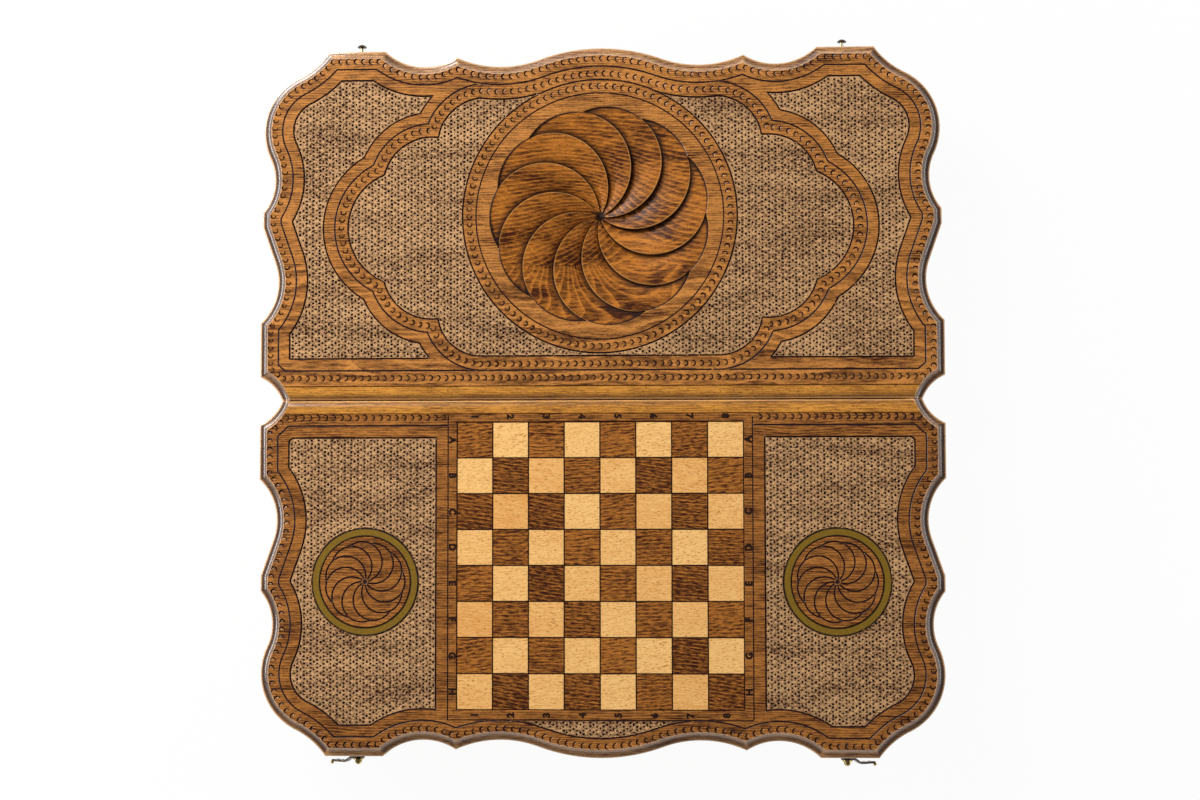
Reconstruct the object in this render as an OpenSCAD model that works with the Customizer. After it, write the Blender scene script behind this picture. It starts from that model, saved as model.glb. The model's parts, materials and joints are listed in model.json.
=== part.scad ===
// Folding carved wooden game board, opened flat and lying face down.
// The origin is the middle of the hinge line. X runs along the hinge, +Y is the half with the
// carved rosette, -Y is the half with the chess squares, and +Z points to the outer faces.
// The hinge axis is the X axis. Each half is drawn with its seam side at y = 0 and its front
// towards +Y, and the chess half is then turned half a turn about Z.

/* [Case] */
// Width of the board, along the hinge
board_w = 600; // [580:5:660]
// Depth of one half, from the seam to its flat front
half_d = 310; // [305:5:340]
// Height of one half, from the hinge axis to the outer face
half_h = 36; // [33:1:44]
// Thickness of the carved outer panel
panel_t = 16; // [14:0.5:18]
// Width of the hinge rail
hinge_rail_w = 20; // [17:1:24]
// Width of the front rail, at the flat front
front_rail_w = 40; // [36:1:48]
// Width of a side rail, at its widest
side_rail_w = 38; // [34:1:46]
// Gap between the two halves at the seam
seam_gap = 0.5; // [0.3:0.1:1]
// Gap between the two rims when the board is shut
rim_gap = 0.3; // [0.2:0.1:0.6]

/* [Edge moulding] */
// Radius of the cove cut along the edge
cove_r = 6; // [4:0.5:7]
// Width of the narrow ledge outside the cove
ledge_w = 1.6; // [1.2:0.1:2]
// Height of the step above the cove
step_h = 1.2; // [0.8:0.1:1.6]
// Width of the rounded roll along the seam
roll_w = 12.6; // [10:0.2:14]
// Drop of that roll at the seam
roll_drop = 3.6; // [2:0.2:5]
// Width of the quirk behind the roll
quirk_w = 1; // [0.6:0.1:1.4]

/* [Playing well] */
// Thickness of the playing floor
floor_t = 3; // [2.5:0.5:4]
// Points at each end of a half
points = 6; // [6:1:6]
// Length of a point
point_l = 190; // [150:5:210]
// Bare floor between the bases of two points
point_gap = 4; // [2:0.5:8]
// Thickness of the point veneers
veneer_t = 0.8; // [0.6:0.1:1.2]
// Width of the strip with the checker pockets
pocket_strip_w = 20; // [19.5:0.5:24]
// Height of the strip with the checker pockets
pocket_strip_h = 10; // [8:0.5:12]
// Diameter of a checker pocket
pocket_dia = 36; // [32:0.5:37]

/* [Carving] */
// Depth of the punched fields below the bands
field_sink = 0.6; // [0.4:0.1:1]
// Width of the bands along the edge
border_w = 27.5; // [25:0.5:30]
// Width of the bands along the seam of the carved half
carved_seam_border = 36.4; // [34:0.4:40]
// Width of the bands along the seam of the chess half
chess_seam_border = 33; // [30:0.5:36]
// Distance of the rosette from the flat front
rosette_from_front = 149; // [145:1:155]
// Radius of the ring round the rosette
ring_r = 120.3; // [116:0.5:122]
// Blades in the rosette
blades = 11; // [7:1:15]
// Radius of the disc that each blade is cut from
blade_r = 48.2; // [44:0.2:52]
// Depth of the hub of the rosette
hub_depth = 8.5; // [6:0.5:10]
// Greatest step from one blade down to the next
blade_step = 5.2; // [3:0.2:6]
// Depth of the blades below the ring, at the rim
rim_depth = 0.6; // [0.4:0.1:1]

/* [Chess side] */
// Side of a chess square
square = 31.15; // [29:0.25:31.5]
// Distance of the first row of squares from the seam
squares_from_seam = 19.5; // [17:0.5:24]
// Thickness of the squares
square_t = 2; // [1:0.25:3]
// Dark line between two squares
square_gap = 0.7; // [0.3:0.1:1]
// Distance of a medallion from the board's side
medallion_from_side = 95; // [90:0.5:102]
// Distance of a medallion from the flat front
medallion_from_front = 151.6; // [145:0.5:160]
// Outer radius of the medallion ring
medallion_r = 46.4; // [44:0.2:48]
// Width of the medallion ring
medallion_ring_w = 6.5; // [4:0.5:8]
// Thickness of the medallion ring
medallion_t = 1.2; // [0.8:0.2:2]

/* [Hinges] */
// Distance of a hinge from the board's side
hinge_from_side = 130; // [100:5:160]
// Length of a hinge
hinge_l = 50; // [40:5:60]
// Knuckles in a hinge
knuckles = 5; // [3:2:7]
// Radius of the barrel
barrel_r = 1.8; // [1.6:0.1:2]
// Radius of the hinge pin
pin_r = 0.8; // [0.6:0.1:0.9]
// Width of a leaf, from the axis
leaf_w = 12; // [10:0.5:14]
// Thickness of a leaf
leaf_t = 1.5; // [1.2:0.1:1.6]
// Radius of a hinge screw
hinge_screw_r = 1.2; // [1:0.1:1.4]
// Length of a hinge screw below the leaf
hinge_screw_l = 9; // [6:0.5:12]
// Screws in a leaf
leaf_screws = 3; // [2:1:4]

/* [Hooks] */
// Distance of a hook and its catch from the board's side
hook_from_side = 86; // [80:0.5:92]
// Height of the hook pivot above the hinge axis
hook_z = 10.5; // [10:0.5:12]
// Height of the catch above the hinge axis
catch_z = 9.5; // [9:0.5:12]
// Thickness of a hook
hook_t = 1.8; // [1.4:0.1:2.4]
// Radius of a hook's eye
eye_r = 5.6; // [4.8:0.1:6]
// Step of a hook's arm away from the wall, between its eye and its claw
hook_step = 4; // [2:0.5:5]
// Length of the sloping part of that arm
slope_l = 6; // [5:0.5:7]
// Radius of the stems of the hook screws and the catches
stem_r = 1.6; // [1.4:0.1:1.8]
// Room between a hook and the stems that it turns on and catches
stem_room = 0.3; // [0.2:0.05:0.4]
// Depth of the stems in the wood
stem_depth = 14; // [10:1:18]
// Thickness of the washer under a hook
washer_t = 1.2; // [0.8:0.1:1.6]
// Angle of a resting hook below the level
hook_droop = 24; // [10:1:24]
// Radius of the head of a catch
catch_head_r = 4.2; // [3.8:0.1:4.6]
// Height of the head of a catch
catch_head_h = 2.8; // [2:0.2:3.6]
// Radius of the collar of a hook screw
collar_r = 4.4; // [3.6:0.1:4.8]
// Radius of the dome on that collar
dome_r = 2.9; // [2.4:0.1:3.2]
// Height of that dome
dome_h = 2.2; // [1.6:0.2:2.8]
// Height of the cone between that collar and the dome
cone_h = 2.2; // [1:0.2:3]
// Radius of the ball on the tip of a hook
ball_r = 1.5; // [1.2:0.1:1.8]

/* [Hidden] */
$fn = 48;

oak = "#8a5a2b";
dark_wood = "#5b3a1e";
light_wood = "#d9ab6b";
olive = "#8a7420";
brass = "#a08a50";
bronze = "#5a4f41";

over = 1;
side_x = board_w / 2;
rim_z = rim_gap / 2;
seam_y = seam_gap / 2;
panel_z = half_h - panel_t;
floor_z = panel_z - floor_t;
well_x = side_x - side_rail_w;
well_front = half_d - front_rail_w;
well_d = well_front - hinge_rail_w;
pitch = well_d / points;
pocket_face = well_x - pocket_strip_w;
rosette_y = half_d - rosette_from_front;
medallion_x = side_x - medallion_from_side;
medallion_y = half_d - medallion_from_front;
hinge_x = side_x - hinge_from_side;
hook_x = side_x - hook_from_side;

// Small helpers for round outlines
function bearing(c, p) = atan2(p.y - c.y, p.x - c.x);
function short_turn(a) = a - 360 * round(a / 360);
function polar(c, r, a) = c + r * [cos(a), sin(a)];
function towards(c, r, p) = c + r * (p - c) / norm(p - c);
// Points of the short arc round c from p up to, but not including, q
function arc(c, p, q, n) =
    let (start = bearing(c, p), swept = short_turn(bearing(c, q) - start))
    [for (i = [0 : n - 1]) polar(c, norm(p - c), start + swept * i / n)];
// Where two circles cross, to the left of the way from the first to the second if side is 1
function crossing(c0, r0, c1, r1, side) =
    let (v = c1 - c0, gap = norm(v), along = (gap * gap + r0 * r0 - r1 * r1) / (2 * gap))
    c0 + along * v / gap + side * sqrt(r0 * r0 - along * along) * [-v.y, v.x] / gap;
// Height of a circle where it passes x, and how far out it is where it passes y
function rise(c, r, x) = sqrt(r * r - (x - c.x) * (x - c.x));
function reach(c, r, y) = sqrt(r * r - (y - c.y) * (y - c.y));

// Radii of the arcs of one half's outline, and how far their centres are outside the side, inside
// it, above the seam, above the flat front or below it
corner_r = 36.5;
corner_out = 14.5;
corner_up = -12.5;
scoop_r = 50;
scoop_out = 34.5;
scoop_up = 105;
cusp_in = 1.6;
cusp_slant = 19.3;
waist_out = 33.5;
waist_below = 114.4;
lobe_r = 54.5;
lobe_in = 56.9;
lobe_below = 71.7;
flat_in = 59.5;
shoulder_r = 70;
dip_r = 51.6;
dip_in = 145.7;
dip_above = 37.2;
sag_r = 95;
sag_in = 213;
sag_above = 80.4;
crest_below = 157.2;
// Centres of those arcs, right of the middle line
corner_c = [side_x + corner_out, corner_up];
scoop_c = [side_x + scoop_out, scoop_up];
cusp_x = side_x - cusp_in;
waist_c = [side_x + waist_out, half_d - waist_below];
lobe_c = [side_x - lobe_in, half_d - lobe_below];
waist_r = norm(waist_c - lobe_c) - lobe_r;
flat_end = [side_x - flat_in, half_d];
shoulder_c = crossing(lobe_c, lobe_r + shoulder_r, flat_end, shoulder_r, -1);
dip_c = [side_x - dip_in, half_d + dip_above];
sag_c = [side_x - sag_in, half_d + sag_above];
crest_c = [0, half_d - crest_below];
crest_r = norm(sag_c - crest_c) - sag_r;

// Right half of the outline, drawn in by d all round but with its seam side at y = seam_at
function half_outline(d, seam_at) =
    let (
        x = side_x - d,
        y = half_d - d,
        corner_foot = [corner_c.x - reach(corner_c, corner_r + d, seam_at), seam_at],
        corner_top = [x, corner_c.y + rise(corner_c, corner_r + d, x)],
        scoop_foot = [x, scoop_c.y - rise(scoop_c, scoop_r + d, x)],
        scoop_top = polar(scoop_c, scoop_r + d, 180 - cusp_slant),
        cusp_foot_y = scoop_top.y + (cusp_x - d - scoop_top.x) / tan(cusp_slant),
        cusp_top_y = waist_c.y - rise(waist_c, waist_r + d, cusp_x - d),
        sharp = cusp_foot_y > cusp_top_y - 0.5,
        cusp_foot = [cusp_x - d, sharp ? (cusp_foot_y + cusp_top_y) / 2 : cusp_foot_y],
        cusp_top = [cusp_x - d, cusp_top_y],
        waist_top = towards(lobe_c, lobe_r - d, waist_c),
        lobe_top = towards(lobe_c, lobe_r - d, shoulder_c),
        shoulder_top = [shoulder_c.x - reach(shoulder_c, shoulder_r + d, y), y],
        flat_foot = [dip_c.x + reach(dip_c, dip_r + d, y), y],
        peak = crossing(dip_c, dip_r + d, sag_c, sag_r + d, 1),
        sag_end = towards(crest_c, crest_r - d, sag_c),
        crest = [0, crest_c.y + crest_r - d],
        corner_cut = corner_top.y < seam_at || corner_foot.x > x
    )
    concat(
        corner_cut ? [[x, seam_at]] : concat(arc(corner_c, corner_foot, corner_top, 5), [corner_top]),
        arc(scoop_c, scoop_foot, scoop_top, 8),
        [scoop_top],
        sharp ? [] : [cusp_foot],
        arc(waist_c, sharp ? cusp_foot : cusp_top, waist_top, 7),
        arc(lobe_c, waist_top, lobe_top, 11),
        arc(shoulder_c, lobe_top, shoulder_top, 5),
        [shoulder_top],
        arc(dip_c, flat_foot, peak, 8),
        arc(sag_c, peak, sag_end, 8),
        arc(crest_c, sag_end, crest, 7),
        [crest]
    );
// Whole outline, closed along the seam side
function outline(d = 0, seam_at = seam_y) =
    let (right = half_outline(d, seam_at), n = len(right))
    concat(right, [for (i = [n - 2 : -1 : 0]) [-right[i].x, right[i].y]]);

// Turns a half drawn towards +Y into the chess half
module chess_side() {
    rotate([0, 0, 180]) children();
}

// Mirrors a thing drawn at +X to the other side where end is -1
module at_end(end) {
    if (end < 0) mirror([1, 0, 0]) children();
    else children();
}

// Flat ring
module flat_ring(r, w, h) {
    difference() {
        cylinder(r = r, h = h, $fn = 96);
        translate([0, 0, -over]) cylinder(r = r - w, h = h + 2 * over, $fn = 96);
    }
}

// Edge moulding
// Each row is how far the outline is drawn in, and the height there, from the bottom edge up
cove_steps = 4;
cove_top = half_h - step_h;
ledge_fall = 0.2;
ledge_z = cove_top - cove_r;
moulding_w = ledge_w + cove_r;
moulding = concat(
    [[0, panel_z], [0, ledge_z - ledge_w / 2], [ledge_w / 2, ledge_z - ledge_fall]],
    [for (i = [0 : cove_steps]) let (a = 90 * i / cove_steps)
        [ledge_w + cove_r * sin(a), cove_top - cove_r * cos(a)]]
);

// Solid panel. A swept edge carries the moulding round its three outer sides, and a flat face stands a
// step higher. Both run on past the seam, and one cut makes the wall there.
module moulded_panel() {
    profile = concat(moulding, [[moulding_w + 1, cove_top], [moulding_w + 1, panel_z]]);
    m = len(profile);
    paths = [for (row = profile) outline(row[0], -1)];
    n = len(paths[0]);
    sides = [for (i = [0 : n - 2], k = [0 : m - 1]) let (j = (k + 1) % m)
        each [[i * m + k, i * m + j, i * m + m + j], [i * m + k, i * m + m + j, i * m + m + k]]];
    difference() {
        union() {
            polyhedron(
                points = [for (i = [0 : n - 1], k = [0 : m - 1]) [paths[k][i].x, paths[k][i].y, profile[k][1]]],
                faces = concat([[for (k = [m - 1 : -1 : 0]) k]], sides, [[for (k = [0 : m - 1]) (n - 1) * m + k]])
            );
            translate([0, 0, panel_z]) linear_extrude(half_h - panel_z) polygon(outline(moulding_w - 0.1, -2));
        }
        translate([-side_x, -4, panel_z - over]) cube([2 * side_x, 4 + seam_gap / 2, half_h]);
    }
}

// Space above the rounded roll along the seam, with the quirk behind it
module seam_roll_cut() {
    roll_flat = roll_w * 0.35;
    roll_r = (pow(roll_w - roll_flat, 2) + pow(roll_drop, 2)) / (2 * roll_drop);
    roll_top = half_h - quirk_w / 2;
    steps = 8;
    foot = asin((roll_w - roll_flat) / roll_r);
    profile = concat(
        [for (i = [0 : steps]) let (a = foot * (1 - i / steps))
            [roll_w - roll_flat - roll_r * sin(a), roll_top - roll_r * (1 - cos(a))]],
        [[roll_w - quirk_w, roll_top], [roll_w - quirk_w / 2, roll_top - quirk_w], [roll_w, half_h]],
        [[roll_w, half_h + over], [-over, half_h + over], [-over, roll_top - roll_drop]]
    );
    translate([-side_x - over, 0, 0]) rotate([90, 0, 90])
        linear_extrude(board_w + 2 * over) polygon(profile);
}

// Cuts a flat-bottomed ground of the children's outline into the outer face
module sunk(depth) {
    translate([0, 0, half_h - depth]) linear_extrude(depth + over) children();
}

// Cartouche on the carved half: five lobes at each end, with notches between them. Their centres are
// given by their distance inside the side and by how far they are from the middle lobe's height.
mid_lobe_r = 62.6;
mid_lobe_in = 129.4;
mid_lobe_below = 9.6;
next_lobe_r = 54.8;
next_lobe_in = 152.5;
next_lobe_off = 37.4;
last_lobe_r = 48.8;
last_lobe_in = 195;
last_lobe_off = 75.4;
lobes = [
    [[side_x - mid_lobe_in, -mid_lobe_below], mid_lobe_r],
    [[side_x - next_lobe_in, next_lobe_off - mid_lobe_below], next_lobe_r],
    [[side_x - next_lobe_in, -next_lobe_off - mid_lobe_below], next_lobe_r],
    [[side_x - last_lobe_in, last_lobe_off - mid_lobe_below], last_lobe_r],
    [[side_x - last_lobe_in, -last_lobe_off - mid_lobe_below], last_lobe_r],
];
module cartouche(grow) {
    top = lobes[3][0].y + lobes[3][1] + grow;
    foot = lobes[4][0].y - lobes[4][1] - grow;
    translate([0, rosette_y]) {
        for (end = [-1, 1], lobe = lobes)
            translate([end * lobe[0].x, lobe[0].y]) circle(lobe[1] + grow, $fn = 96);
        translate([-lobes[3][0].x, foot]) square([2 * lobes[3][0].x, top - foot]);
        translate([-lobes[0][0].x, lobes[4][0].y]) square([2 * lobes[0][0].x, lobes[3][0].y - lobes[4][0].y]);
    }
}
cartouche_outer = 10.1;
cartouche_inner = -11.8;
cartouche_border = 30.5;

// Grounds of the carved half that are punched all over
module carved_fields() {
    difference() {
        polygon(outline(border_w, carved_seam_border));
        cartouche(cartouche_outer);
    }
    difference() {
        intersection() {
            cartouche(cartouche_inner);
            polygon(outline(cartouche_border, carved_seam_border));
        }
        translate([0, rosette_y]) circle(ring_r, $fn = 120);
    }
}

// Rosette
// A blade runs from the hub to the rim. Its raised edge is part of a circle through the hub, and it
// falls away from there to the foot of the next blade's edge.
blade_turn = 360 / blades;
first_blade = 17.5;
hub_f = 0.03;
foot_gap = 0.05;
valley_r = 2 * blade_r * cos(blade_turn / 2);
// Depth of a raised edge and of the step beside it, at the share f of the way from hub to rim
function edge_depth(f) = rim_depth + (hub_depth - rim_depth) * pow(1 - f, 3);
function step_depth(f) = 0.2 + (blade_step - 0.2) * pow(sin(180 * pow(f, 0.75)), 1.2) + 0.9 * f;
// One point of blade k, at the share f along it and the share t across it
function blade_point(k, f, t) =
    let (
        lean = acos(f * valley_r / (2 * blade_r)),
        r = f * 2 * blade_r * cos(blade_turn * (t - 0.5)),
        a = first_blade + blade_turn * (k + t) - lean
    )
    [r * cos(a), rosette_y + r * sin(a), half_h - edge_depth(f) - step_depth(f) * pow(t, 1.4)];

// Space above the blades
module rosette_cut() {
    across = 6;
    along = 14;
    shares = [for (j = [0 : across]) j / across * (1 - foot_gap)];
    rows = [for (i = [0 : along]) [for (k = [0 : blades - 1], t = shares)
        blade_point(k, hub_f + (1 - hub_f) * i / along, t)]];
    n = len(rows[0]);
    rim = [for (p = rows[along]) [p.x, p.y, half_h + over]];
    hub = [0, rosette_y, half_h - hub_depth - over];
    surface = [for (i = [0 : along], c = [0 : n - 1]) let (d = (c + 1) % n)
        each [[i * n + c, (i + 1) * n + c, (i + 1) * n + d], [i * n + c, (i + 1) * n + d, i * n + d]]];
    hub_fan = [for (c = [0 : n - 1]) [(along + 2) * n, c, (c + 1) % n]];
    polyhedron(
        points = concat([for (row = rows) each row], rim, [hub]),
        faces = concat(surface, hub_fan, [[for (c = [n - 1 : -1 : 0]) (along + 1) * n + c]])
    );
}

module carved_panel() {
    color(oak) difference() {
        moulded_panel();
        seam_roll_cut();
        sunk(field_sink) carved_fields();
        rosette_cut();
    }
}

// Chess half
board_side = 8 * square;
squares_y = squares_from_seam + board_side / 2;
frame_side = 21.4;
frame_foot = 11;
frame_line_x = board_side / 2 + frame_side;
frame_line_y = squares_from_seam + board_side + frame_foot;
lens_border = 18;
lens_half_w = 90;

// Grounds of the chess half that are punched all over
module chess_fields() {
    difference() {
        polygon(outline(border_w, chess_seam_border));
        translate([-frame_line_x, 0]) square([2 * frame_line_x, half_d + 2 * over]);
        for (end = [-1, 1]) translate([end * medallion_x, medallion_y]) circle(medallion_r + 0.8, $fn = 96);
    }
    intersection() {
        polygon(outline(lens_border, chess_seam_border));
        translate([-lens_half_w, frame_line_y]) square([2 * lens_half_w, half_d]);
    }
}

module chess_panel() {
    color(oak) chess_side() difference() {
        moulded_panel();
        seam_roll_cut();
        sunk(field_sink) chess_fields();
        sunk(square_t) translate([-board_side / 2, squares_from_seam]) square(board_side);
        for (end = [-1, 1]) translate([end * medallion_x, medallion_y, half_h - medallion_t])
            flat_ring(medallion_r, medallion_ring_w, medallion_t + over);
    }
}

// Squares of one colour, let into the panel
module squares(parity) {
    side = square - square_gap;
    for (i = [0 : 7], j = [0 : 7]) if ((i + j) % 2 == parity)
        translate([(i - 4) * square, squares_from_seam + j * square, half_h - square_t])
            translate([square_gap / 2, square_gap / 2, 0]) cube([side, side, square_t]);
}

module medallion_ring(end) {
    color(olive) chess_side() at_end(-end) translate([medallion_x, medallion_y, half_h - medallion_t])
        flat_ring(medallion_r, medallion_ring_w, medallion_t);
}

// Rails of one half
rail_h = panel_z - rim_z;
module case_block() {
    translate([0, 0, rim_z]) linear_extrude(rail_h) polygon(outline());
}

// Front rail with the bores for two stems at the height of z
module front_rail(z) {
    color(oak) difference() {
        intersection() {
            case_block();
            translate([-well_x, well_front, 0]) cube([2 * well_x, half_d, half_h]);
        }
        for (end = [-1, 1]) on_front(end, z) translate([0, 0, -stem_depth])
            cylinder(r = stem_r, h = stem_depth + over);
    }
}

module side_rail(end) {
    color(oak) at_end(end) intersection() {
        case_block();
        translate([well_x, 0, 0]) cube([side_rail_w + over, 2 * half_d, half_h]);
    }
}

module play_floor() {
    color(light_wood) difference() {
        translate([-well_x, hinge_rail_w, floor_z]) cube([2 * well_x, well_d, floor_t]);
        for (parity = [0, 1]) point_set(parity, over);
    }
}

// Veneer points of one colour at both ends, standing proud of the floor by proud
module point_set(parity, proud = 0) {
    for (end = [-1, 1], i = [0 : points - 1]) if ((i + (end > 0 ? 1 : 0)) % 2 == parity)
        translate([0, hinge_rail_w + (i + 0.5) * pitch, floor_z - proud]) linear_extrude(veneer_t + proud)
            polygon([[end * pocket_face, -(pitch - point_gap) / 2], [end * pocket_face, (pitch - point_gap) / 2],
                [end * (pocket_face - point_l), 0]]);
}

// Strip along a side rail with a half-round pocket for the checkers at each point
module pocket_strip(end) {
    color(oak) at_end(end) translate([pocket_face, hinge_rail_w, floor_z - pocket_strip_h]) difference() {
        cube([pocket_strip_w, well_d, pocket_strip_h]);
        for (i = [0 : points - 1]) translate([0, (i + 0.5) * pitch, -over])
            cylinder(d = pocket_dia, h = pocket_strip_h + 2 * over, $fn = 64);
    }
}

// Hinges
leaf_z = barrel_r - 0.1 - leaf_t;
knuckle_l = hinge_l / knuckles;
knuckle_play = 0.2;
barrel_room = 0.3;
pin_room = 0.05;
leaf_foot = barrel_r + barrel_room;
leaf_screw_y = (leaf_foot + leaf_w) / 2;
leaf_screw_pitch = 0.75 * hinge_l / leaf_screws;
screw_head_h = 1.1;
screw_slot_w = 0.6;
screw_slot_d = 0.5;

module along_axis(x, l, r) {
    translate([x, 0, 0]) rotate([0, 90, 0]) cylinder(r = r, h = l);
}

// Things at each of a leaf's screws
module at_leaf_screws() {
    for (i = [0 : leaf_screws - 1])
        translate([(i - (leaf_screws - 1) / 2) * leaf_screw_pitch, leaf_screw_y, leaf_z]) children();
}

module leaf_screw() {
    cylinder(r1 = hinge_screw_r + screw_head_h, r2 = hinge_screw_r, h = screw_head_h);
    translate([0, 0, screw_head_h / 2]) cylinder(r = hinge_screw_r, h = leaf_t + hinge_screw_l - screw_head_h / 2);
}

// Leaf on the +Y side, with every second knuckle from the one numbered first
module hinge_leaf(end, first, bore_r) {
    color(brass) translate([end * hinge_x, 0, 0]) difference() {
        union() {
            translate([-hinge_l / 2, leaf_foot, leaf_z]) cube([hinge_l, leaf_w - leaf_foot, leaf_t]);
            for (k = [first : 2 : knuckles - 1]) {
                x = -hinge_l / 2 + k * knuckle_l + knuckle_play / 2;
                along_axis(x, knuckle_l - knuckle_play, barrel_r);
                translate([x, 0, leaf_z]) cube([knuckle_l - knuckle_play, leaf_screw_y, leaf_t]);
            }
        }
        along_axis(-hinge_l, 2 * hinge_l, bore_r);
        at_leaf_screws() leaf_screw();
    }
}

module hinge_screws() {
    color(brass) for (end = [-1, 1]) translate([end * hinge_x, 0, 0]) at_leaf_screws() difference() {
        leaf_screw();
        translate([-2 * hinge_screw_r, -screw_slot_w / 2, -over])
            cube([4 * hinge_screw_r, screw_slot_w, over + screw_slot_d]);
    }
}

module hinge_rail() {
    color(oak) difference() {
        translate([-well_x, seam_y, rim_z]) cube([2 * well_x, hinge_rail_w - seam_y, rail_h]);
        for (end = [-1, 1]) translate([end * hinge_x, 0, 0]) {
            along_axis(-hinge_l / 2 - barrel_room, hinge_l + 2 * barrel_room, leaf_foot);
            translate([-hinge_l / 2, 0, 0]) cube([hinge_l, leaf_w, leaf_z + leaf_t]);
            at_leaf_screws() leaf_screw();
        }
    }
}

module hinge_pin(end) {
    color(bronze) translate([end * hinge_x, 0, 0]) along_axis(-hinge_l / 2, hinge_l, pin_r);
}

// Hooks and catches
hook_play = 0.3;
hook_l = hook_z + catch_z;
hook_foot = washer_t + hook_play;
neck = hook_foot + hook_t + hook_play;
catch_neck = neck + hook_step;
claw_r = stem_r + stem_room;
claw_w = 2.2;
claw_out = claw_r + claw_w;
ball_reach = catch_head_r + ball_r + hook_play;
ball_side = 1.3 * ball_r - claw_out;
flange_h = 1;
slot_w = 0.8;
slot_d = 0.9;

// Things on the front wall, drawn with the wall at z = 0 and standing out along +Z
module on_front(end, z) {
    at_end(end) translate([hook_x, half_d, z]) rotate([-90, 0, 0]) children();
}

// Cap of a ball, r wide and h high, on the plane z = 0
module dome(r, h) {
    ball = (r * r + h * h) / (2 * h);
    intersection() {
        translate([0, 0, h - ball]) sphere(ball);
        translate([-2 * r, -2 * r, 0]) cube([4 * r, 4 * r, h + over]);
    }
}

module catch_knob(end) {
    color(brass) on_front(end, catch_z) {
        translate([0, 0, -stem_depth]) cylinder(r = stem_r, h = stem_depth + catch_neck + flange_h / 2);
        cylinder(r1 = stem_r + flange_h, r2 = stem_r, h = flange_h);
        translate([0, 0, catch_neck]) cylinder(r1 = catch_head_r - flange_h / 2, r2 = catch_head_r, h = flange_h / 2);
        translate([0, 0, catch_neck + flange_h / 2]) dome(catch_head_r, catch_head_h - flange_h / 2);
    }
}

module hook_screw(end) {
    color(brass) chess_side() on_front(-end, hook_z) difference() {
        union() {
            translate([0, 0, -stem_depth]) cylinder(r = stem_r, h = stem_depth + neck + flange_h / 2);
            translate([0, 0, neck]) cylinder(r = collar_r, h = flange_h);
            translate([0, 0, neck + flange_h]) cylinder(r1 = collar_r - flange_h, r2 = dome_r, h = cone_h);
            translate([0, 0, neck + flange_h + cone_h]) dome(dome_r, dome_h);
        }
        translate([-dome_r, -slot_w / 2, neck + flange_h + cone_h + dome_h - slot_d])
            cube([2 * dome_r, slot_w, dome_h]);
    }
}

module hook_washer(end) {
    color(bronze) chess_side() on_front(-end, hook_z) flat_ring(eye_r + hook_play, eye_r + hook_play - stem_r, washer_t);
}

// Flat hook with its eye at the origin, its claw along +X and the claw's mouth towards +Y
module hook_shape() {
    difference() {
        union() {
            circle(eye_r);
            polygon([[0, -eye_r * 0.8], [hook_l, -claw_out], [hook_l, 0], [0, eye_r * 0.8]]);
            translate([hook_l, 0]) circle(claw_out);
            translate([hook_l, ball_side - 0.7 * ball_r]) square([ball_reach, 1.4 * ball_r]);
        }
        circle(stem_r + stem_room);
        translate([hook_l, 0]) circle(claw_r);
        translate([hook_l - claw_r, 0]) square([2 * claw_r, 2 * claw_out]);
    }
}

// Side view of that hook, whose arm steps away from the wall: its length along X and its thickness along Y
module hook_side() {
    reach = hook_l + claw_out + ball_reach + over;
    polygon([
        [-eye_r - over, 0], [eye_r, 0], [eye_r + slope_l, hook_step], [reach, hook_step],
        [reach, hook_step + hook_t], [eye_r + slope_l, hook_step + hook_t], [eye_r, hook_t], [-eye_r - over, hook_t],
    ]);
}

module hook(end) {
    color(bronze) chess_side() on_front(-end, hook_z) translate([0, 0, hook_foot]) rotate([0, 0, hook_droop]) {
        intersection() {
            linear_extrude(hook_step + hook_t + over) hook_shape();
            translate([0, hook_l, 0]) rotate([90, 0, 0]) linear_extrude(2 * hook_l) hook_side();
        }
        translate([hook_l + ball_reach, ball_side, hook_step + hook_t + ball_r / 2])
            rotate([0, 90, 0]) sphere(ball_r, $fn = 24);
    }
}

carved_panel();
front_rail(catch_z);  // carved_front_rail
hinge_rail();  // carved_hinge_rail
side_rail(-1);  // carved_left_rail
side_rail(1);  // carved_right_rail
play_floor();  // carved_floor
color(light_wood) point_set(0);  // carved_light_points
color(dark_wood) point_set(1);  // carved_dark_points
pocket_strip(-1);  // carved_left_pockets
pocket_strip(1);  // carved_right_pockets
chess_panel();
chess_side() front_rail(hook_z);  // chess_front_rail
chess_side() hinge_rail();  // chess_hinge_rail
chess_side() side_rail(1);  // chess_left_rail
chess_side() side_rail(-1);  // chess_right_rail
chess_side() play_floor();  // chess_floor
color(light_wood) chess_side() point_set(0);  // chess_light_points
color(dark_wood) chess_side() point_set(1);  // chess_dark_points
chess_side() pocket_strip(1);  // chess_left_pockets
chess_side() pocket_strip(-1);  // chess_right_pockets
color(light_wood) chess_side() squares(0);  // light_squares
color(dark_wood) chess_side() squares(1);  // dark_squares
medallion_ring(-1);  // left_medallion_ring
medallion_ring(1);  // right_medallion_ring
hinge_leaf(-1, 0, pin_r);  // left_carved_leaf
hinge_leaf(1, 0, pin_r);  // right_carved_leaf
chess_side() hinge_leaf(1, 1, pin_r + pin_room);  // left_chess_leaf
chess_side() hinge_leaf(-1, 1, pin_r + pin_room);  // right_chess_leaf
hinge_pin(-1);  // left_hinge_pin
hinge_pin(1);  // right_hinge_pin
hinge_screws();  // carved_hinge_screws
chess_side() hinge_screws();  // chess_hinge_screws
catch_knob(-1);  // left_catch_knob
catch_knob(1);  // right_catch_knob
hook(-1);  // left_hook
hook(1);  // right_hook
hook_screw(-1);  // left_hook_screw
hook_screw(1);  // right_hook_screw
hook_washer(-1);  // left_hook_washer
hook_washer(1);  // right_hook_washer
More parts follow.
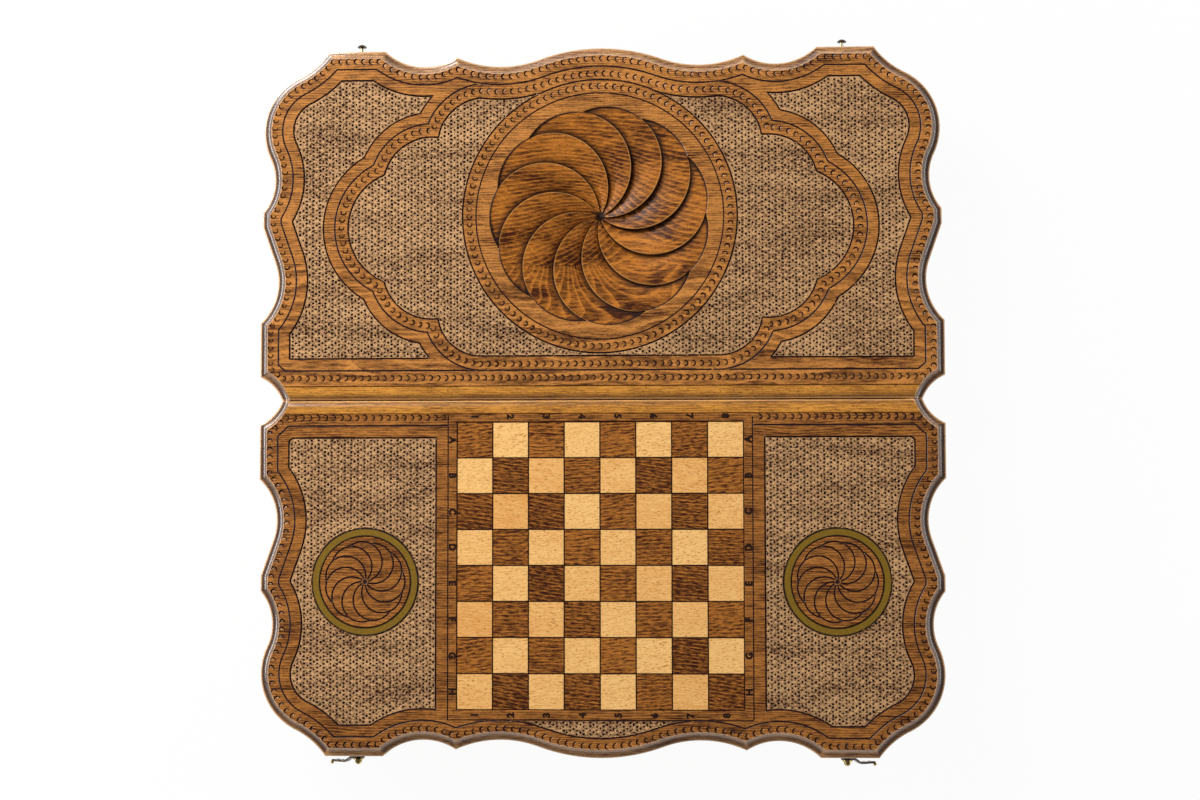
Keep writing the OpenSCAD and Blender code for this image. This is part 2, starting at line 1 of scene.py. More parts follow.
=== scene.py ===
"""A folding games box that lies open with both outer faces up: a carved half and one with a chess field.

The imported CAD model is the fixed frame. Both outer panels are replaced by carved panels of the same outline
and thickness, whose faces carry the real gouge cuts, incised lines, punched grounds and the carved rosette.
Every other CAD part keeps its shape and gets its own finish.

Sizes are in millimetres in the frame of one half: x along the hinge, y away from it, z up to the outer face.
The chess half is made in the same frame and then turned half a circle about z.
"""

import json
import logging
import math
from dataclasses import dataclass, field
from enum import Enum, IntEnum
from functools import partial
from typing import Callable, Sequence

import bmesh
import bpy
import numpy as np
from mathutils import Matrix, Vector
from mathutils.geometry import delaunay_2d_cdt

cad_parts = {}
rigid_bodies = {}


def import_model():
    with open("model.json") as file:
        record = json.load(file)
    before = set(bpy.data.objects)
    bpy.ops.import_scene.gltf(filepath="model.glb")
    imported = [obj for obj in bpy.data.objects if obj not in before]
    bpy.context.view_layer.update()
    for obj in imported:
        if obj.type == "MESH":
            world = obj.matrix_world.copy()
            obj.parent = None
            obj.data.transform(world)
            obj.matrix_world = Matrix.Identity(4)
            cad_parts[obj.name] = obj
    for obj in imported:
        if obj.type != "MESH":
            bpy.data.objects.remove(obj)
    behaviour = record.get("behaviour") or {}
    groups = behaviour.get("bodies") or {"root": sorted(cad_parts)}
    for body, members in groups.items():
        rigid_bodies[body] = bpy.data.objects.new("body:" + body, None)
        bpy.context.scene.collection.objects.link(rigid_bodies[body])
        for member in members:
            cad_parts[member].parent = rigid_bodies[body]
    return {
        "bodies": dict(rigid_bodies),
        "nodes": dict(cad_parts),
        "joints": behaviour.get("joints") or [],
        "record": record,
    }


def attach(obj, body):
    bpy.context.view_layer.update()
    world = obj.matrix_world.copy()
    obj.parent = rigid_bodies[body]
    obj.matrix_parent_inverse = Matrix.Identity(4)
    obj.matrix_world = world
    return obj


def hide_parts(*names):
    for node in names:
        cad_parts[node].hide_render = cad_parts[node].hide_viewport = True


LOG = logging.getLogger("games_box")

# Metres in a millimetre, and radians in a full turn
MM = 0.001
TURN = 2 * math.pi

# Half the seam's gap, the heights of the outer face and of the panel's underside, and the flat face's inset
SEAM_Y = 0.25
FACE_Z = 36.0
PANEL_Z = 20.0
TOP_INSET = 7.9

# A square's side, the first row's distance from the seam line, and the middle of a medallion
SQUARE = 31.15
FIRST_SQUARE_Y = 19.5
MEDALLION = (205.0, 158.4)

# How many points are compared at once, a distance beyond every other, and no edges
BLOCK = 2000
FAR = 1e9
NO_LINKS = np.zeros((0, 2), int)


# Plane geometry


def polar(centre: Sequence[float], radius: float | np.ndarray, angle: np.ndarray) -> np.ndarray:
    """Points on a circle: centre plus radius times the direction of each angle, in radians.

    Args:
        centre: the circle's centre.
        radius: one radius, or one for each angle.
        angle: the angles.

    Returns:
        One row of x and y for each angle.
    """
    angle = np.asarray(angle, float)
    return np.stack([centre[0] + radius * np.cos(angle), centre[1] + radius * np.sin(angle)], -1)


def short_arc(centre: Sequence[float], start: Sequence[float], stop: Sequence[float],
              count: int) -> np.ndarray:
    """Points round a centre the short way from start up to, but not including, stop.

    Args:
        centre: the arc's centre.
        start: its first point, which sets the radius.
        stop: the point whose direction ends it.
        count: how many points.

    Returns:
        The points, equally far apart.
    """
    a = math.atan2(start[1] - centre[1], start[0] - centre[0])
    b = math.atan2(stop[1] - centre[1], stop[0] - centre[0])
    swept = (b - a + math.pi) % TURN - math.pi
    radius = math.hypot(start[0] - centre[0], start[1] - centre[1])
    return polar(centre, radius, a + swept * np.arange(count) / count)


def crossing(c0: Sequence[float], r0: float, c1: Sequence[float], r1: float, side: int) -> np.ndarray:
    """One of the two points where two circles cross: along the line of centres, then off it at right angles.

    Args:
        c0: the first circle's centre.
        r0: its radius.
        c1: the second circle's centre.
        r1: its radius.
        side: 1 for the point on the left of the way from the first to the second, -1 for the other.

    Returns:
        The point.
    """
    c0 = np.asarray(c0, float)
    v = np.asarray(c1, float) - c0
    gap = math.hypot(*v)
    along = (gap * gap + r0 * r0 - r1 * r1) / (2 * gap)
    off = math.sqrt(max(r0 * r0 - along * along, 0.0))
    return c0 + along * v / gap + side * off * np.array([-v[1], v[0]]) / gap


def towards(centre: Sequence[float], radius: float, target: Sequence[float]) -> np.ndarray:
    """The point of a circle, given by its centre and radius, that is nearest to a target."""
    v = np.asarray(target, float) - np.asarray(centre, float)
    return np.asarray(centre, float) + radius * v / math.hypot(*v)


def left_of(way: np.ndarray) -> np.ndarray:
    """Each direction turned a quarter to the left."""
    return np.stack([-way[:, 1], way[:, 0]], -1)


def inside(loop: np.ndarray, points: np.ndarray) -> np.ndarray:
    """Tells which points lie in a closed loop: those with an odd number of its edges to their right.

    Args:
        loop: the loop's corners in order.
        points: the points to test.

    Returns:
        One truth value for each point.
    """
    ax, ay = loop[:, 0], loop[:, 1]
    bx, by = np.roll(ax, -1), np.roll(ay, -1)
    slope = (bx - ax) / np.where(by == ay, 1e-9, by - ay)
    found = np.zeros(len(points), bool)
    for start in range(0, len(points), BLOCK):
        px, py = (points[start : start + BLOCK, i][:, None] for i in (0, 1))
        hits = ((ay > py) != (by > py)) & (px < ax + slope * (py - ay))
        found[start : start + BLOCK] = hits.sum(1) % 2 == 1
    return found


def gap_to(points: np.ndarray, others: np.ndarray) -> tuple[np.ndarray, np.ndarray]:
    """Finds the nearest of the others for each point.

    Args:
        points: the points to start from.
        others: the points to look among, which may be none.

    Returns:
        How far the nearest is from each point, and its number.
    """
    far = np.full(len(points), FAR)
    which = np.zeros(len(points), int)
    if len(others) == 0:
        return far, which
    for start in range(0, len(points), BLOCK):
        part = points[start : start + BLOCK]
        d = np.hypot(part[:, None, 0] - others[None, :, 0], part[:, None, 1] - others[None, :, 1])
        which[start : start + BLOCK] = d.argmin(1)
        far[start : start + BLOCK] = d.min(1)
    return far, which


def densify(path: np.ndarray, step: float, closed: bool) -> np.ndarray:
    """Adds points on the straight stretches of a path, and keeps its corners.

    Args:
        path: the path's points.
        step: the longest stretch that may stay.
        closed: whether the last point is joined to the first.

    Returns:
        The path's own points and the new ones, in order.
    """
    ends = np.roll(path, -1, 0) if closed else path[1:]
    starts = path if closed else path[:-1]
    length = np.hypot(*(ends - starts).T)
    real = length > 1e-6
    starts, ends, length = starts[real], ends[real], length[real]
    count = np.maximum(1, np.ceil(length / step).astype(int))
    owner = np.repeat(np.arange(len(count)), count)
    share = (np.arange(count.sum()) - np.repeat(np.cumsum(count) - count, count)) / count[owner]
    made = starts[owner] + (ends - starts)[owner] * share[:, None]
    return made if closed else np.vstack([made, path[-1:]])


def evenly(path: np.ndarray, pitch: float, reach: float = 1.6) -> tuple[np.ndarray, np.ndarray]:
    """Places round a closed path, about pitch apart, and the path's direction at each.

    Args:
        path: the path's points.
        pitch: the distance wanted, which is changed a little to fit a whole number of times.
        reach: how far ahead and back the direction is taken from.

    Returns:
        The places and the unit directions.
    """
    ring = np.vstack([path, path[:1]])
    along = np.concatenate([[0], np.cumsum(np.hypot(*np.diff(ring, axis=0).T))])
    count = max(1, round(along[-1] / pitch))
    at = np.arange(count) * along[-1] / count
    stops = (at, np.minimum(at + reach, along[-1]), np.maximum(at - reach, 0))
    place, ahead, back = (np.stack([np.interp(s, along, ring[:, i]) for i in (0, 1)], -1) for s in stops)
    way = ahead - back
    return place, way / np.hypot(*way.T)[:, None]


def runs(path: np.ndarray, keep: np.ndarray, shortest: int = 15) -> list[np.ndarray]:
    """Splits a closed path into its longest stretches whose points are all kept.

    Args:
        path: the path's points.
        keep: which of them are kept.
        shortest: the fewest points that a stretch may have.

    Returns:
        The stretches, or the whole path with its first point again at its end.
    """
    if keep.all():
        return [np.vstack([path, path[:1]])]
    first = int(np.flatnonzero(~keep)[0])
    path, keep = np.roll(path, -first, 0), np.roll(keep, -first)
    change = np.flatnonzero(np.diff(np.concatenate([[0], keep.astype(int), [0]])))
    return [path[a:b] for a, b in zip(change[::2], change[1::2]) if b - a >= shortest]


def grid_faces(rows: int, columns: int, closed: bool) -> np.ndarray:
    """The quads of a grid of points, numbered row by row, whose last column may be joined to the first.

    Args:
        rows: how many rows of points.
        columns: how many points in a row.
        closed: whether each row is a ring.

    Returns:
        One row of four point numbers for each quad.
    """
    i = np.arange(columns if closed else columns - 1)
    quad = np.stack([i, (i + 1) % columns, (i + 1) % columns + columns, i + columns], -1)
    return np.concatenate([quad + r * columns for r in range(rows - 1)])


@dataclass(frozen=True)
class CaseOutline:
    """The outline of one half, made of arcs and short flats, which any ornament on its edge follows.

    Each arc is given by its centre and radius. It has three times as many points as the CAD model's.
    """

    half_w: float = 300.0
    depth: float = 310.0
    corner: tuple[float, float, float] = (314.5, -12.5, 36.5)
    scoop: tuple[float, float, float] = (334.5, 105.0, 50.0)
    cusp_x: float = 298.4
    cusp_slant: float = 19.3
    waist: tuple[float, float] = (333.5, 195.6)
    lobe: tuple[float, float, float] = (243.1, 238.3, 54.5)
    flat_end: tuple[float, float] = (240.5, 310.0)
    shoulder_r: float = 70.0
    dip: tuple[float, float, float] = (154.3, 347.2, 51.6)
    sag: tuple[float, float, float] = (87.0, 390.4, 95.0)
    crest_y: float = 152.8

    def right(self, inset: float, seam: float) -> np.ndarray:
        """The right half of the outline, drawn in by inset all round, from the seam to the middle line.

        Args:
            inset: how far in, in millimetres.
            seam: the height y where it starts at the seam side.

        Returns:
            Points from the seam side to the middle of the front.
        """
        d, x, y = inset, self.half_w - inset, self.depth - inset

        def rise(c: Sequence[float], r: float, at: float) -> float:
            """Height of a circle above its centre where it passes at."""
            return math.sqrt(max(r * r - (at - c[0]) ** 2, 0.0))

        def reach(c: Sequence[float], r: float, at: float) -> float:
            """Width of a circle from its centre where it passes the height at."""
            return math.sqrt(max(r * r - (at - c[1]) ** 2, 0.0))

        corner_r, scoop_r = self.corner[2] + d, self.scoop[2] + d
        waist_r = math.hypot(self.waist[0] - self.lobe[0], self.waist[1] - self.lobe[1]) - self.lobe[2] + d
        lobe_r = self.lobe[2] - d
        dip_r, sag_r = self.dip[2] + d, self.sag[2] + d
        crest = (0.0, self.crest_y)
        crest_r = math.hypot(self.sag[0], self.sag[1] - self.crest_y) - self.sag[2] - d
        corner_foot = (self.corner[0] - reach(self.corner, corner_r, seam), seam)
        corner_top = (x, self.corner[1] + rise(self.corner, corner_r, x))
        scoop_foot = (x, self.scoop[1] - rise(self.scoop, scoop_r, x))
        scoop_top = polar(self.scoop, scoop_r, math.radians(180 - self.cusp_slant))
        cusp_foot = scoop_top[1] + (self.cusp_x - d - scoop_top[0]) / math.tan(math.radians(self.cusp_slant))
        cusp_top = self.waist[1] - rise(self.waist, waist_r, self.cusp_x - d)
        sharp = cusp_foot > cusp_top - 0.5
        low = (self.cusp_x - d, (cusp_foot + cusp_top) / 2 if sharp else cusp_foot)
        high = low if sharp else (self.cusp_x - d, cusp_top)
        waist_top = towards(self.lobe[:2], lobe_r, self.waist)
        outer_r = self.lobe[2] + self.shoulder_r
        shoulder = crossing(self.lobe[:2], outer_r, self.flat_end, self.shoulder_r, -1)
        lobe_top = towards(self.lobe[:2], lobe_r, shoulder)
        shoulder_top = (shoulder[0] - reach(shoulder, self.shoulder_r + d, y), y)
        flat_foot = (self.dip[0] + reach(self.dip, dip_r, y), y)
        peak = crossing(self.dip[:2], dip_r, self.sag[:2], sag_r, 1)
        sag_end = towards(crest, crest_r, self.sag[:2])
        top = (0.0, crest[1] + crest_r)
        cut_off = corner_top[1] < seam or corner_foot[0] > x
        start = [(x, seam)] if cut_off else [*short_arc(self.corner, corner_foot, corner_top, 15), corner_top]
        parts = [
            np.array(start),
            short_arc(self.scoop, scoop_foot, scoop_top, 24),
            scoop_top[None],
            np.array([low]),
            short_arc(self.waist, high, waist_top, 21)[1 if sharp else 0 :],
            short_arc(self.lobe, waist_top, lobe_top, 33),
            short_arc(shoulder, lobe_top, shoulder_top, 15),
            np.array([shoulder_top]),
            short_arc(self.dip, flat_foot, peak, 24),
            short_arc(self.sag, peak, sag_end, 24),
            short_arc(crest, sag_end, top, 21),
            np.array([top]),
        ]
        return np.vstack(parts)

    def loop(self, inset: float, seam: float = SEAM_Y) -> np.ndarray:
        """The whole outline, from the seam's right end round the front to its left end."""
        right = self.right(inset, seam)
        return np.vstack([right, right[-2::-1] * [-1, 1]])


@dataclass(frozen=True)
class SeamRoll:
    """The rounded roll along the seam of each half, and the narrow quirk behind it."""

    width: float = 12.6
    drop: float = 3.6
    quirk: float = 1.0
    flat_share: float = 0.35

    def height(self, y: np.ndarray) -> np.ndarray:
        """Height of the roll: an arc that rises from the seam to a flat, then the quirk's V down and up.

        Args:
            y: the distances from the seam line.

        Returns:
            One height for each distance.
        """
        wide = self.width - self.width * self.flat_share
        radius = (wide**2 + self.drop**2) / (2 * self.drop)
        top = FACE_Z - self.quirk / 2
        s = np.clip(wide - y, 0, wide)
        arc = top - (radius - np.sqrt(radius**2 - s**2))
        quirk_mid = self.width - self.quirk / 2
        down = top - self.quirk * np.clip((y - (self.width - self.quirk)) / (self.quirk / 2), 0, 1)
        climbed = np.clip((y - quirk_mid) / (self.quirk / 2), 0, 1)
        up = top - self.quirk + (FACE_Z - top + self.quirk) * climbed
        return np.where(y < self.width - self.quirk, arc, np.where(y < quirk_mid, down, up))

    def cap(self, y: np.ndarray, z: np.ndarray | float) -> np.ndarray:
        """The height z, or the roll's own where that is lower beside the seam."""
        return np.where(y < self.width, np.minimum(z, self.height(y)), z)

    def rows(self) -> np.ndarray:
        """Distances from the seam at which the roll's surface is drawn."""
        rise = np.linspace(SEAM_Y, self.width * (1 - self.flat_share), 10)
        return np.concatenate([rise, [self.width - self.quirk, self.width - self.quirk / 2, self.width]])


class Ground(IntEnum):
    """The finishes of a panel's face, in the order of its material slots."""

    BAND = 0
    FIELD = 1
    ROSETTE = 2
    EDGE = 3
    ROLL = 4


def gouge_mark() -> tuple[np.ndarray, np.ndarray]:
    """One thumbnail gouge mark: a stabbed arc, and a floor that climbs from its foot to the face.

    The lip is 200 degrees of a circle of 2.75 mm, closed by the heel where the cut runs out. The foot is the
    same arc at 2.1 mm, 1.25 mm down in its middle, and the wall between them is nearly black, stained there
    and with a painted shadow. The floor is marked paler, a painted highlight.

    Returns:
        Its points as x, y, height and stain, and its edges.
    """
    a = np.radians(np.linspace(-100, 100, 9))
    lip = polar((0, 0), 2.75, a)
    heel = np.array([[-1.6, 2.1], [-2.6, 1.3], [-3.0, 0.0], [-2.6, -1.3], [-1.6, -2.1]])
    foot = polar((0, 0), 2.1, a * 0.96)
    floor = np.array([[0.1, 1.2], [0.9, 0.0], [0.1, -1.2]])
    z = np.concatenate([np.zeros(14), -1.25 + 0.4 * (a / a[-1]) ** 2, [-0.5, -0.6, -0.5]])
    # The wall down to the foot is nearly black, stained and painted shadow; the floor below 0 is a painted
    # highlight.
    stain_and_shade = np.concatenate([np.full(9, 0.55), np.full(5, 0.1), np.full(9, 1.1), np.full(3, -0.35)])
    ring = np.stack([np.arange(14), (np.arange(14) + 1) % 14], -1)
    wall = np.stack([np.arange(14, 22), np.arange(15, 23)], -1)
    return np.column_stack([np.vstack([lip, heel, foot, floor]), z, stain_and_shade]), np.vstack([ring, wall])


def pit_mark() -> tuple[np.ndarray, np.ndarray]:
    """One punched pit: a lozenge 3.4 mm long and 2.3 mm wide whose middle lies 1.25 mm down.

    Returns:
        Its points as x, y, height and stain, and its edges.
    """
    points = np.array([[1.7, 0.0, 0.05, 0.45], [0.0, 1.15, -0.05, 0.55], [-1.7, 0.0, 0.05, 0.45],
                       [0.0, -1.15, -0.05, 0.55], [0.0, 0.0, -1.25, 1.1]])
    return points, np.array([[0, 1], [1, 2], [2, 3], [3, 0]])


@dataclass
class Relief:
    """The face of one half as points with a height and a depth of stain, joined by edges and triangulated.

    Heights are added to the bare ground's. The staining value is 1 at the bottom of a cut, 0 on the bare
    surface, and below 0 where the surface is paler. Besides the stained cuts it paints shade on the gouges'
    walls and in the seam's gap; below 0 it marks worn raised points, pale rows beside the seam and a painted
    highlight on the gouges' floors.
    """

    outline: CaseOutline
    roll: SeamRoll
    bare: Callable[[np.ndarray], np.ndarray]
    rng: np.random.Generator = field(default_factory=lambda: np.random.default_rng(7))
    stroke_step: float = 2.4
    stroke_end: float = 0.9
    sharpest: float = 0.55
    probe: float = 0.4
    lip_reach: float = 1.3
    gouge_clear: float = 3.3
    star_spacing: float = 6.7
    pit_clear: float = 1.75
    star_clear: float = 2.0
    star_lift: float = 0.22
    star_stain: float = -0.8
    # Rows right beside the seam are pale, the roll darkens towards the seam, and the quirk's bottom is dark.
    seam_pale: float = -0.95
    roll_darkening: float = 0.8
    quirk_stain: float = 0.76
    gouge_jitter: tuple[float, float, float] = (0.03, 0.06, 0.12)
    pit_jitter: tuple[float, float] = (0.14, 0.12)
    xy: list[np.ndarray] = field(default_factory=list)
    z: list[np.ndarray] = field(default_factory=list)
    stain_and_shade: list[np.ndarray] = field(default_factory=list)
    owner: list[np.ndarray] = field(default_factory=list)
    edges: list[np.ndarray] = field(default_factory=list)
    count: int = 0
    strokes_made: int = 0

    def add(self, xy: np.ndarray, z: np.ndarray | float, stain_and_shade: np.ndarray | float,
            links: np.ndarray = NO_LINKS, owner: int = -1) -> None:
        """Adds points and the edges between them.

        Args:
            xy: the points' places.
            z: their absolute heights, or one for all.
            stain_and_shade: their stains, or one for all.
            links: the edges, which number the points from 0.
            owner: the number of the stroke that they belong to, or -1.
        """
        self.xy.append(xy)
        self.z.append(np.broadcast_to(z, len(xy)).astype(float))
        self.stain_and_shade.append(np.broadcast_to(stain_and_shade, len(xy)).astype(float))
        self.owner.append(np.full(len(xy), owner))
        self.edges.append(links + self.count)
        self.count += len(xy)

    def row(self, path: np.ndarray, z: np.ndarray | float, stain_and_shade: np.ndarray | float, closed: bool,
            owner: int = -1) -> None:
        """Adds a line of points, each joined to the next.

        Args:
            path: the points in order.
            z: their absolute heights, or one for all.
            stain_and_shade: their stains, or one for all.
            closed: whether the last is joined to the first.
            owner: the number of the stroke that they belong to, or -1.
        """
        i = np.arange(len(path) if closed else len(path) - 1)
        self.add(path, z, stain_and_shade, np.stack([i, (i + 1) % len(path)], -1), owner)

    def stroke(self, path: np.ndarray, closed: bool = False, width: float = 1.7, depth: float = 0.75) -> None:
        """Cuts an incised line: a V with its lips half the width away from its bottom, mitred at corners.

        Args:
            path: the line's points.
            closed: whether it ends where it began.
            width: the distance between the lips.
            depth: how far its bottom lies below the lower lip.
        """
        path = densify(path, self.stroke_step, closed)
        ahead = np.roll(path, -1, 0) - path
        if not closed:
            ahead[-1] = ahead[-2]
        ahead /= np.maximum(np.hypot(*ahead.T), 1e-9)[:, None]
        back = np.roll(ahead, 1, 0)
        if not closed:
            back[0] = ahead[0]
        mean = ahead + back
        mean /= np.maximum(np.hypot(*mean.T), 1e-6)[:, None]
        mitre = 1 / np.clip((mean * ahead).sum(1), self.sharpest, 1)
        off = left_of(mean) * (mitre * width / 2)[:, None]
        left_z = self.bare(path + off + off * self.probe)
        right_z = self.bare(path - off - off * self.probe)
        me = self.strokes_made
        self.strokes_made += 1
        self.row(path + off, left_z, 0.5, closed, me)
        self.row(path - off, right_z, 0.5, closed, me)
        self.row(path, np.minimum(left_z, right_z) - depth, 1.0, closed, me)
        if not closed:
            ends = np.stack([path[0] - ahead[0] * self.stroke_end, path[-1] + ahead[-1] * self.stroke_end])
            self.add(ends, self.bare(ends), 0.5, owner=me)

    def stroke_mids(self) -> np.ndarray:
        """All points at the bottom of strokes."""
        xy, stain_and_shade, owner = (np.concatenate(part) for part in (self.xy, self.stain_and_shade, self.owner))
        return xy[(owner >= 0) & (stain_and_shade > 0.9)]

    def stamp(self, mark: tuple[np.ndarray, np.ndarray], place: np.ndarray, way: np.ndarray, size: np.ndarray,
              deep: np.ndarray) -> None:
        """Adds a small mark at many places: its x goes along the way there and its y to the left of it.

        Args:
            mark: the mark's points as x, y, height and stain, and its edges.
            place: where its origin goes.
            way: the unit direction at each place.
            size: how many times larger it is at each place.
            deep: how many times deeper it is at each place.
        """
        points, links = mark
        n, m = len(place), len(points)
        turned = points[None, :, :1] * way[:, None] + points[None, :, 1:2] * left_of(way)[:, None]
        xy = (place[:, None] + size[:, None, None] * turned).reshape(-1, 2)
        z = self.bare(xy) + (deep[:, None] * points[None, :, 2]).ravel()
        every = (links[None] + (np.arange(n) * m)[:, None, None]).reshape(-1, 2)
        self.add(xy, z, np.tile(points[:, 3], n), every)

    def gouges(self, path: np.ndarray, pitch: float, keep: Callable | None = None) -> None:
        """Cuts a chain of gouge marks round a closed path, each a little off in size, turn and depth.

        Args:
            path: the path's points.
            pitch: the distance from mark to mark.
            keep: tells which places get a mark, if not all.
        """
        place, way = evenly(path, pitch)
        free = gap_to(place, self.stroke_mids())[0] > self.gouge_clear
        if keep is not None:
            free &= keep(place)
        place, way = place[free], way[free]
        size, turn, deep = (self.rng.normal(0, 1, (len(place), 3)) * self.gouge_jitter).T
        way = np.stack([way[:, 0] * np.cos(turn) - way[:, 1] * np.sin(turn),
                        way[:, 0] * np.sin(turn) + way[:, 1] * np.cos(turn)], -1)
        self.stamp(gouge_mark(), place, way, 1 + size, np.clip(1 + deep, 0.7, 1.3))

    def punch(self, region: Callable[[np.ndarray], np.ndarray]) -> None:
        """Fills a region with punched stars: pits half way between the centres of a triangular lattice.

        Args:
            region: tells which points lie on the punched ground.
        """
        spacing = self.star_spacing
        a1 = np.array([0.0, spacing])
        a2 = np.array([spacing * math.cos(math.pi / 6), spacing / 2])
        n = int((self.outline.depth + 20) / spacing) + 2
        i, j = (g.ravel() for g in np.meshgrid(np.arange(-2 * n, 2 * n), np.arange(-n - 8, n + 8)))
        stars = i[:, None] * a1 + j[:, None] * a2
        wide, y = np.abs(stars[:, 0]), stars[:, 1]
        low, high = self.roll.width - 0.6, self.outline.depth + 2
        stars = stars[(wide < self.outline.half_w) & (y > low) & (y < high)]
        ways = np.array([a1, a2, a2 - a1])
        places = (stars[:, None] + ways[None] / 2).reshape(-1, 2)
        way = np.tile(ways / spacing, (len(stars), 1))
        mids = self.stroke_mids()
        keep = region(places)
        places, way = places[keep], way[keep]
        free = gap_to(places, mids)[0] > self.pit_clear
        places, way = places[free], way[free]
        # Two draws move a pit and the third sizes it; the fourth isn't used
        jitter = self.rng.normal(0, 1, (len(places), 4))
        size = np.clip(1 + self.pit_jitter[1] * jitter[:, 2], 0.7, 1.25)
        moved = places + self.pit_jitter[0] * jitter[:, :2]
        self.stamp(pit_mark(), moved, way, size, np.ones(len(places)))
        stars = stars[region(stars)]
        stars = stars[gap_to(stars, mids)[0] > self.star_clear]
        self.add(stars, self.bare(stars) + self.star_lift, self.star_stain)

    def seam_rows(self) -> None:
        """Adds the rows of the rounded roll along the seam: pale in the rows right beside it, then darker
        towards the seam and fading out up the roll, and dark at the quirk's bottom.
        """
        for y in self.roll.rows()[1:]:
            right = self.outline.right(TOP_INSET, y)[0, 0] - 0.5
            row = np.stack([np.linspace(-right, right, 41), np.full(41, y)], -1)
            bottom = abs(y - (self.roll.width - self.roll.quirk / 2)) < 1e-6
            row_tone = self.seam_pale if y < 1.5 else max(0.0, self.roll_darkening - 0.12 * y)
            self.row(row, self.roll.height(row[:, 1]), self.quirk_stain if bottom else row_tone, False)

    def settle(self) -> None:
        """Lowers the lips of one stroke where they lie inside another stroke's cut."""
        xy, z, stain_and_shade, owner = (np.concatenate(part) for part in (self.xy, self.z, self.stain_and_shade, self.owner))
        lips = np.flatnonzero((owner >= 0) & (stain_and_shade < 0.9))
        mids = np.flatnonzero((owner >= 0) & (stain_and_shade > 0.9))
        for start in range(0, len(lips), BLOCK):
            part = lips[start : start + BLOCK]
            dx, dy = (xy[part][:, None, i] - xy[mids][None, :, i] for i in (0, 1))
            d = np.where(owner[part][:, None] == owner[mids][None], FAR, np.hypot(dx, dy))
            near = d.min(1)
            which = mids[d.argmin(1)]
            hit = near < self.lip_reach
            sink = np.clip(1 - near[hit] / self.lip_reach, 0, 1)
            z[part[hit]] = z[part[hit]] * (1 - sink) + z[which[hit]] * sink
            stain_and_shade[part[hit]] = np.maximum(stain_and_shade[part[hit]], sink)
        self.xy, self.z, self.stain_and_shade, self.owner = [xy], [z], [stain_and_shade], [owner]

    def triangulate(self, hole: Callable[[np.ndarray], np.ndarray] | None) -> tuple[np.ndarray, ...]:
        """Joins all points to a surface inside the outline by constrained Delaunay triangulation.

        Args:
            hole: tells which points lie where another surface takes over.

        Returns:
            The points with their heights, their stains, and the triangles.
        """
        rim = self.outline.loop(TOP_INSET)
        seam_x = np.linspace(rim[-1, 0], rim[0, 0], 42)[1:-1]
        loop = np.vstack([rim, np.stack([seam_x, np.full(40, SEAM_Y)], -1)])
        # The rim row is darkest at the seam: a painted shadow of the gap between the halves.
        self.row(loop, self.roll.cap(loop[:, 1], FACE_Z), np.where(loop[:, 1] < 0.4, 1.0, 0.0), True)
        inner = self.outline.loop(TOP_INSET + 0.7)
        self.row(inner[inner[:, 1] > self.roll.width], FACE_Z, 0.0, False)
        self.settle()
        xy, z, stain_and_shade = self.xy[0], self.z[0], self.stain_and_shade[0]
        links = np.vstack(self.edges)
        out = delaunay_2d_cdt([Vector(p) for p in xy.tolist()], links.tolist(), [], 0, 1e-5, True)
        new_xy = np.array([(p.x, p.y) for p in out[0]])
        tris = np.array(out[2], int)
        source = np.array([ids[0] if ids else -1 for ids in out[3]])
        lost = np.flatnonzero(source < 0)
        if len(lost):
            source[lost] = gap_to(new_xy[lost], xy)[1]
        middle = new_xy[tris].mean(1)
        keep = inside(loop, middle)
        if hole is not None:
            keep &= ~hole(middle)
        LOG.info("face: %d points in, %d triangles, %d crossings", len(xy), keep.sum(), len(lost))
        return np.column_stack([new_xy, z[source]]), stain_and_shade[source], tris[keep]

    def wear_and_highlight_share(self, points: np.ndarray, stain_and_shade: np.ndarray) -> np.ndarray:
        """How pale the face is marked: 1 on its rim, away from the seam, and inside where its staining value
        is below 0. The rim and the gouges' floors carry a painted highlight, the rim also worn; the raised
        star points are worn, and the rows beside the seam are pale.

        Args:
            points: the face's points.
            stain_and_shade: their stains.

        Returns:
            One share from 0 to 1 for each point.
        """
        rim = self.outline.loop(TOP_INSET)
        on_rim = (gap_to(points[:, :2], rim)[0] < 0.03) & (points[:, 1] > self.roll.width)
        return np.where(on_rim, 1.0, np.clip(-stain_and_shade, 0, 1))


# Meshes


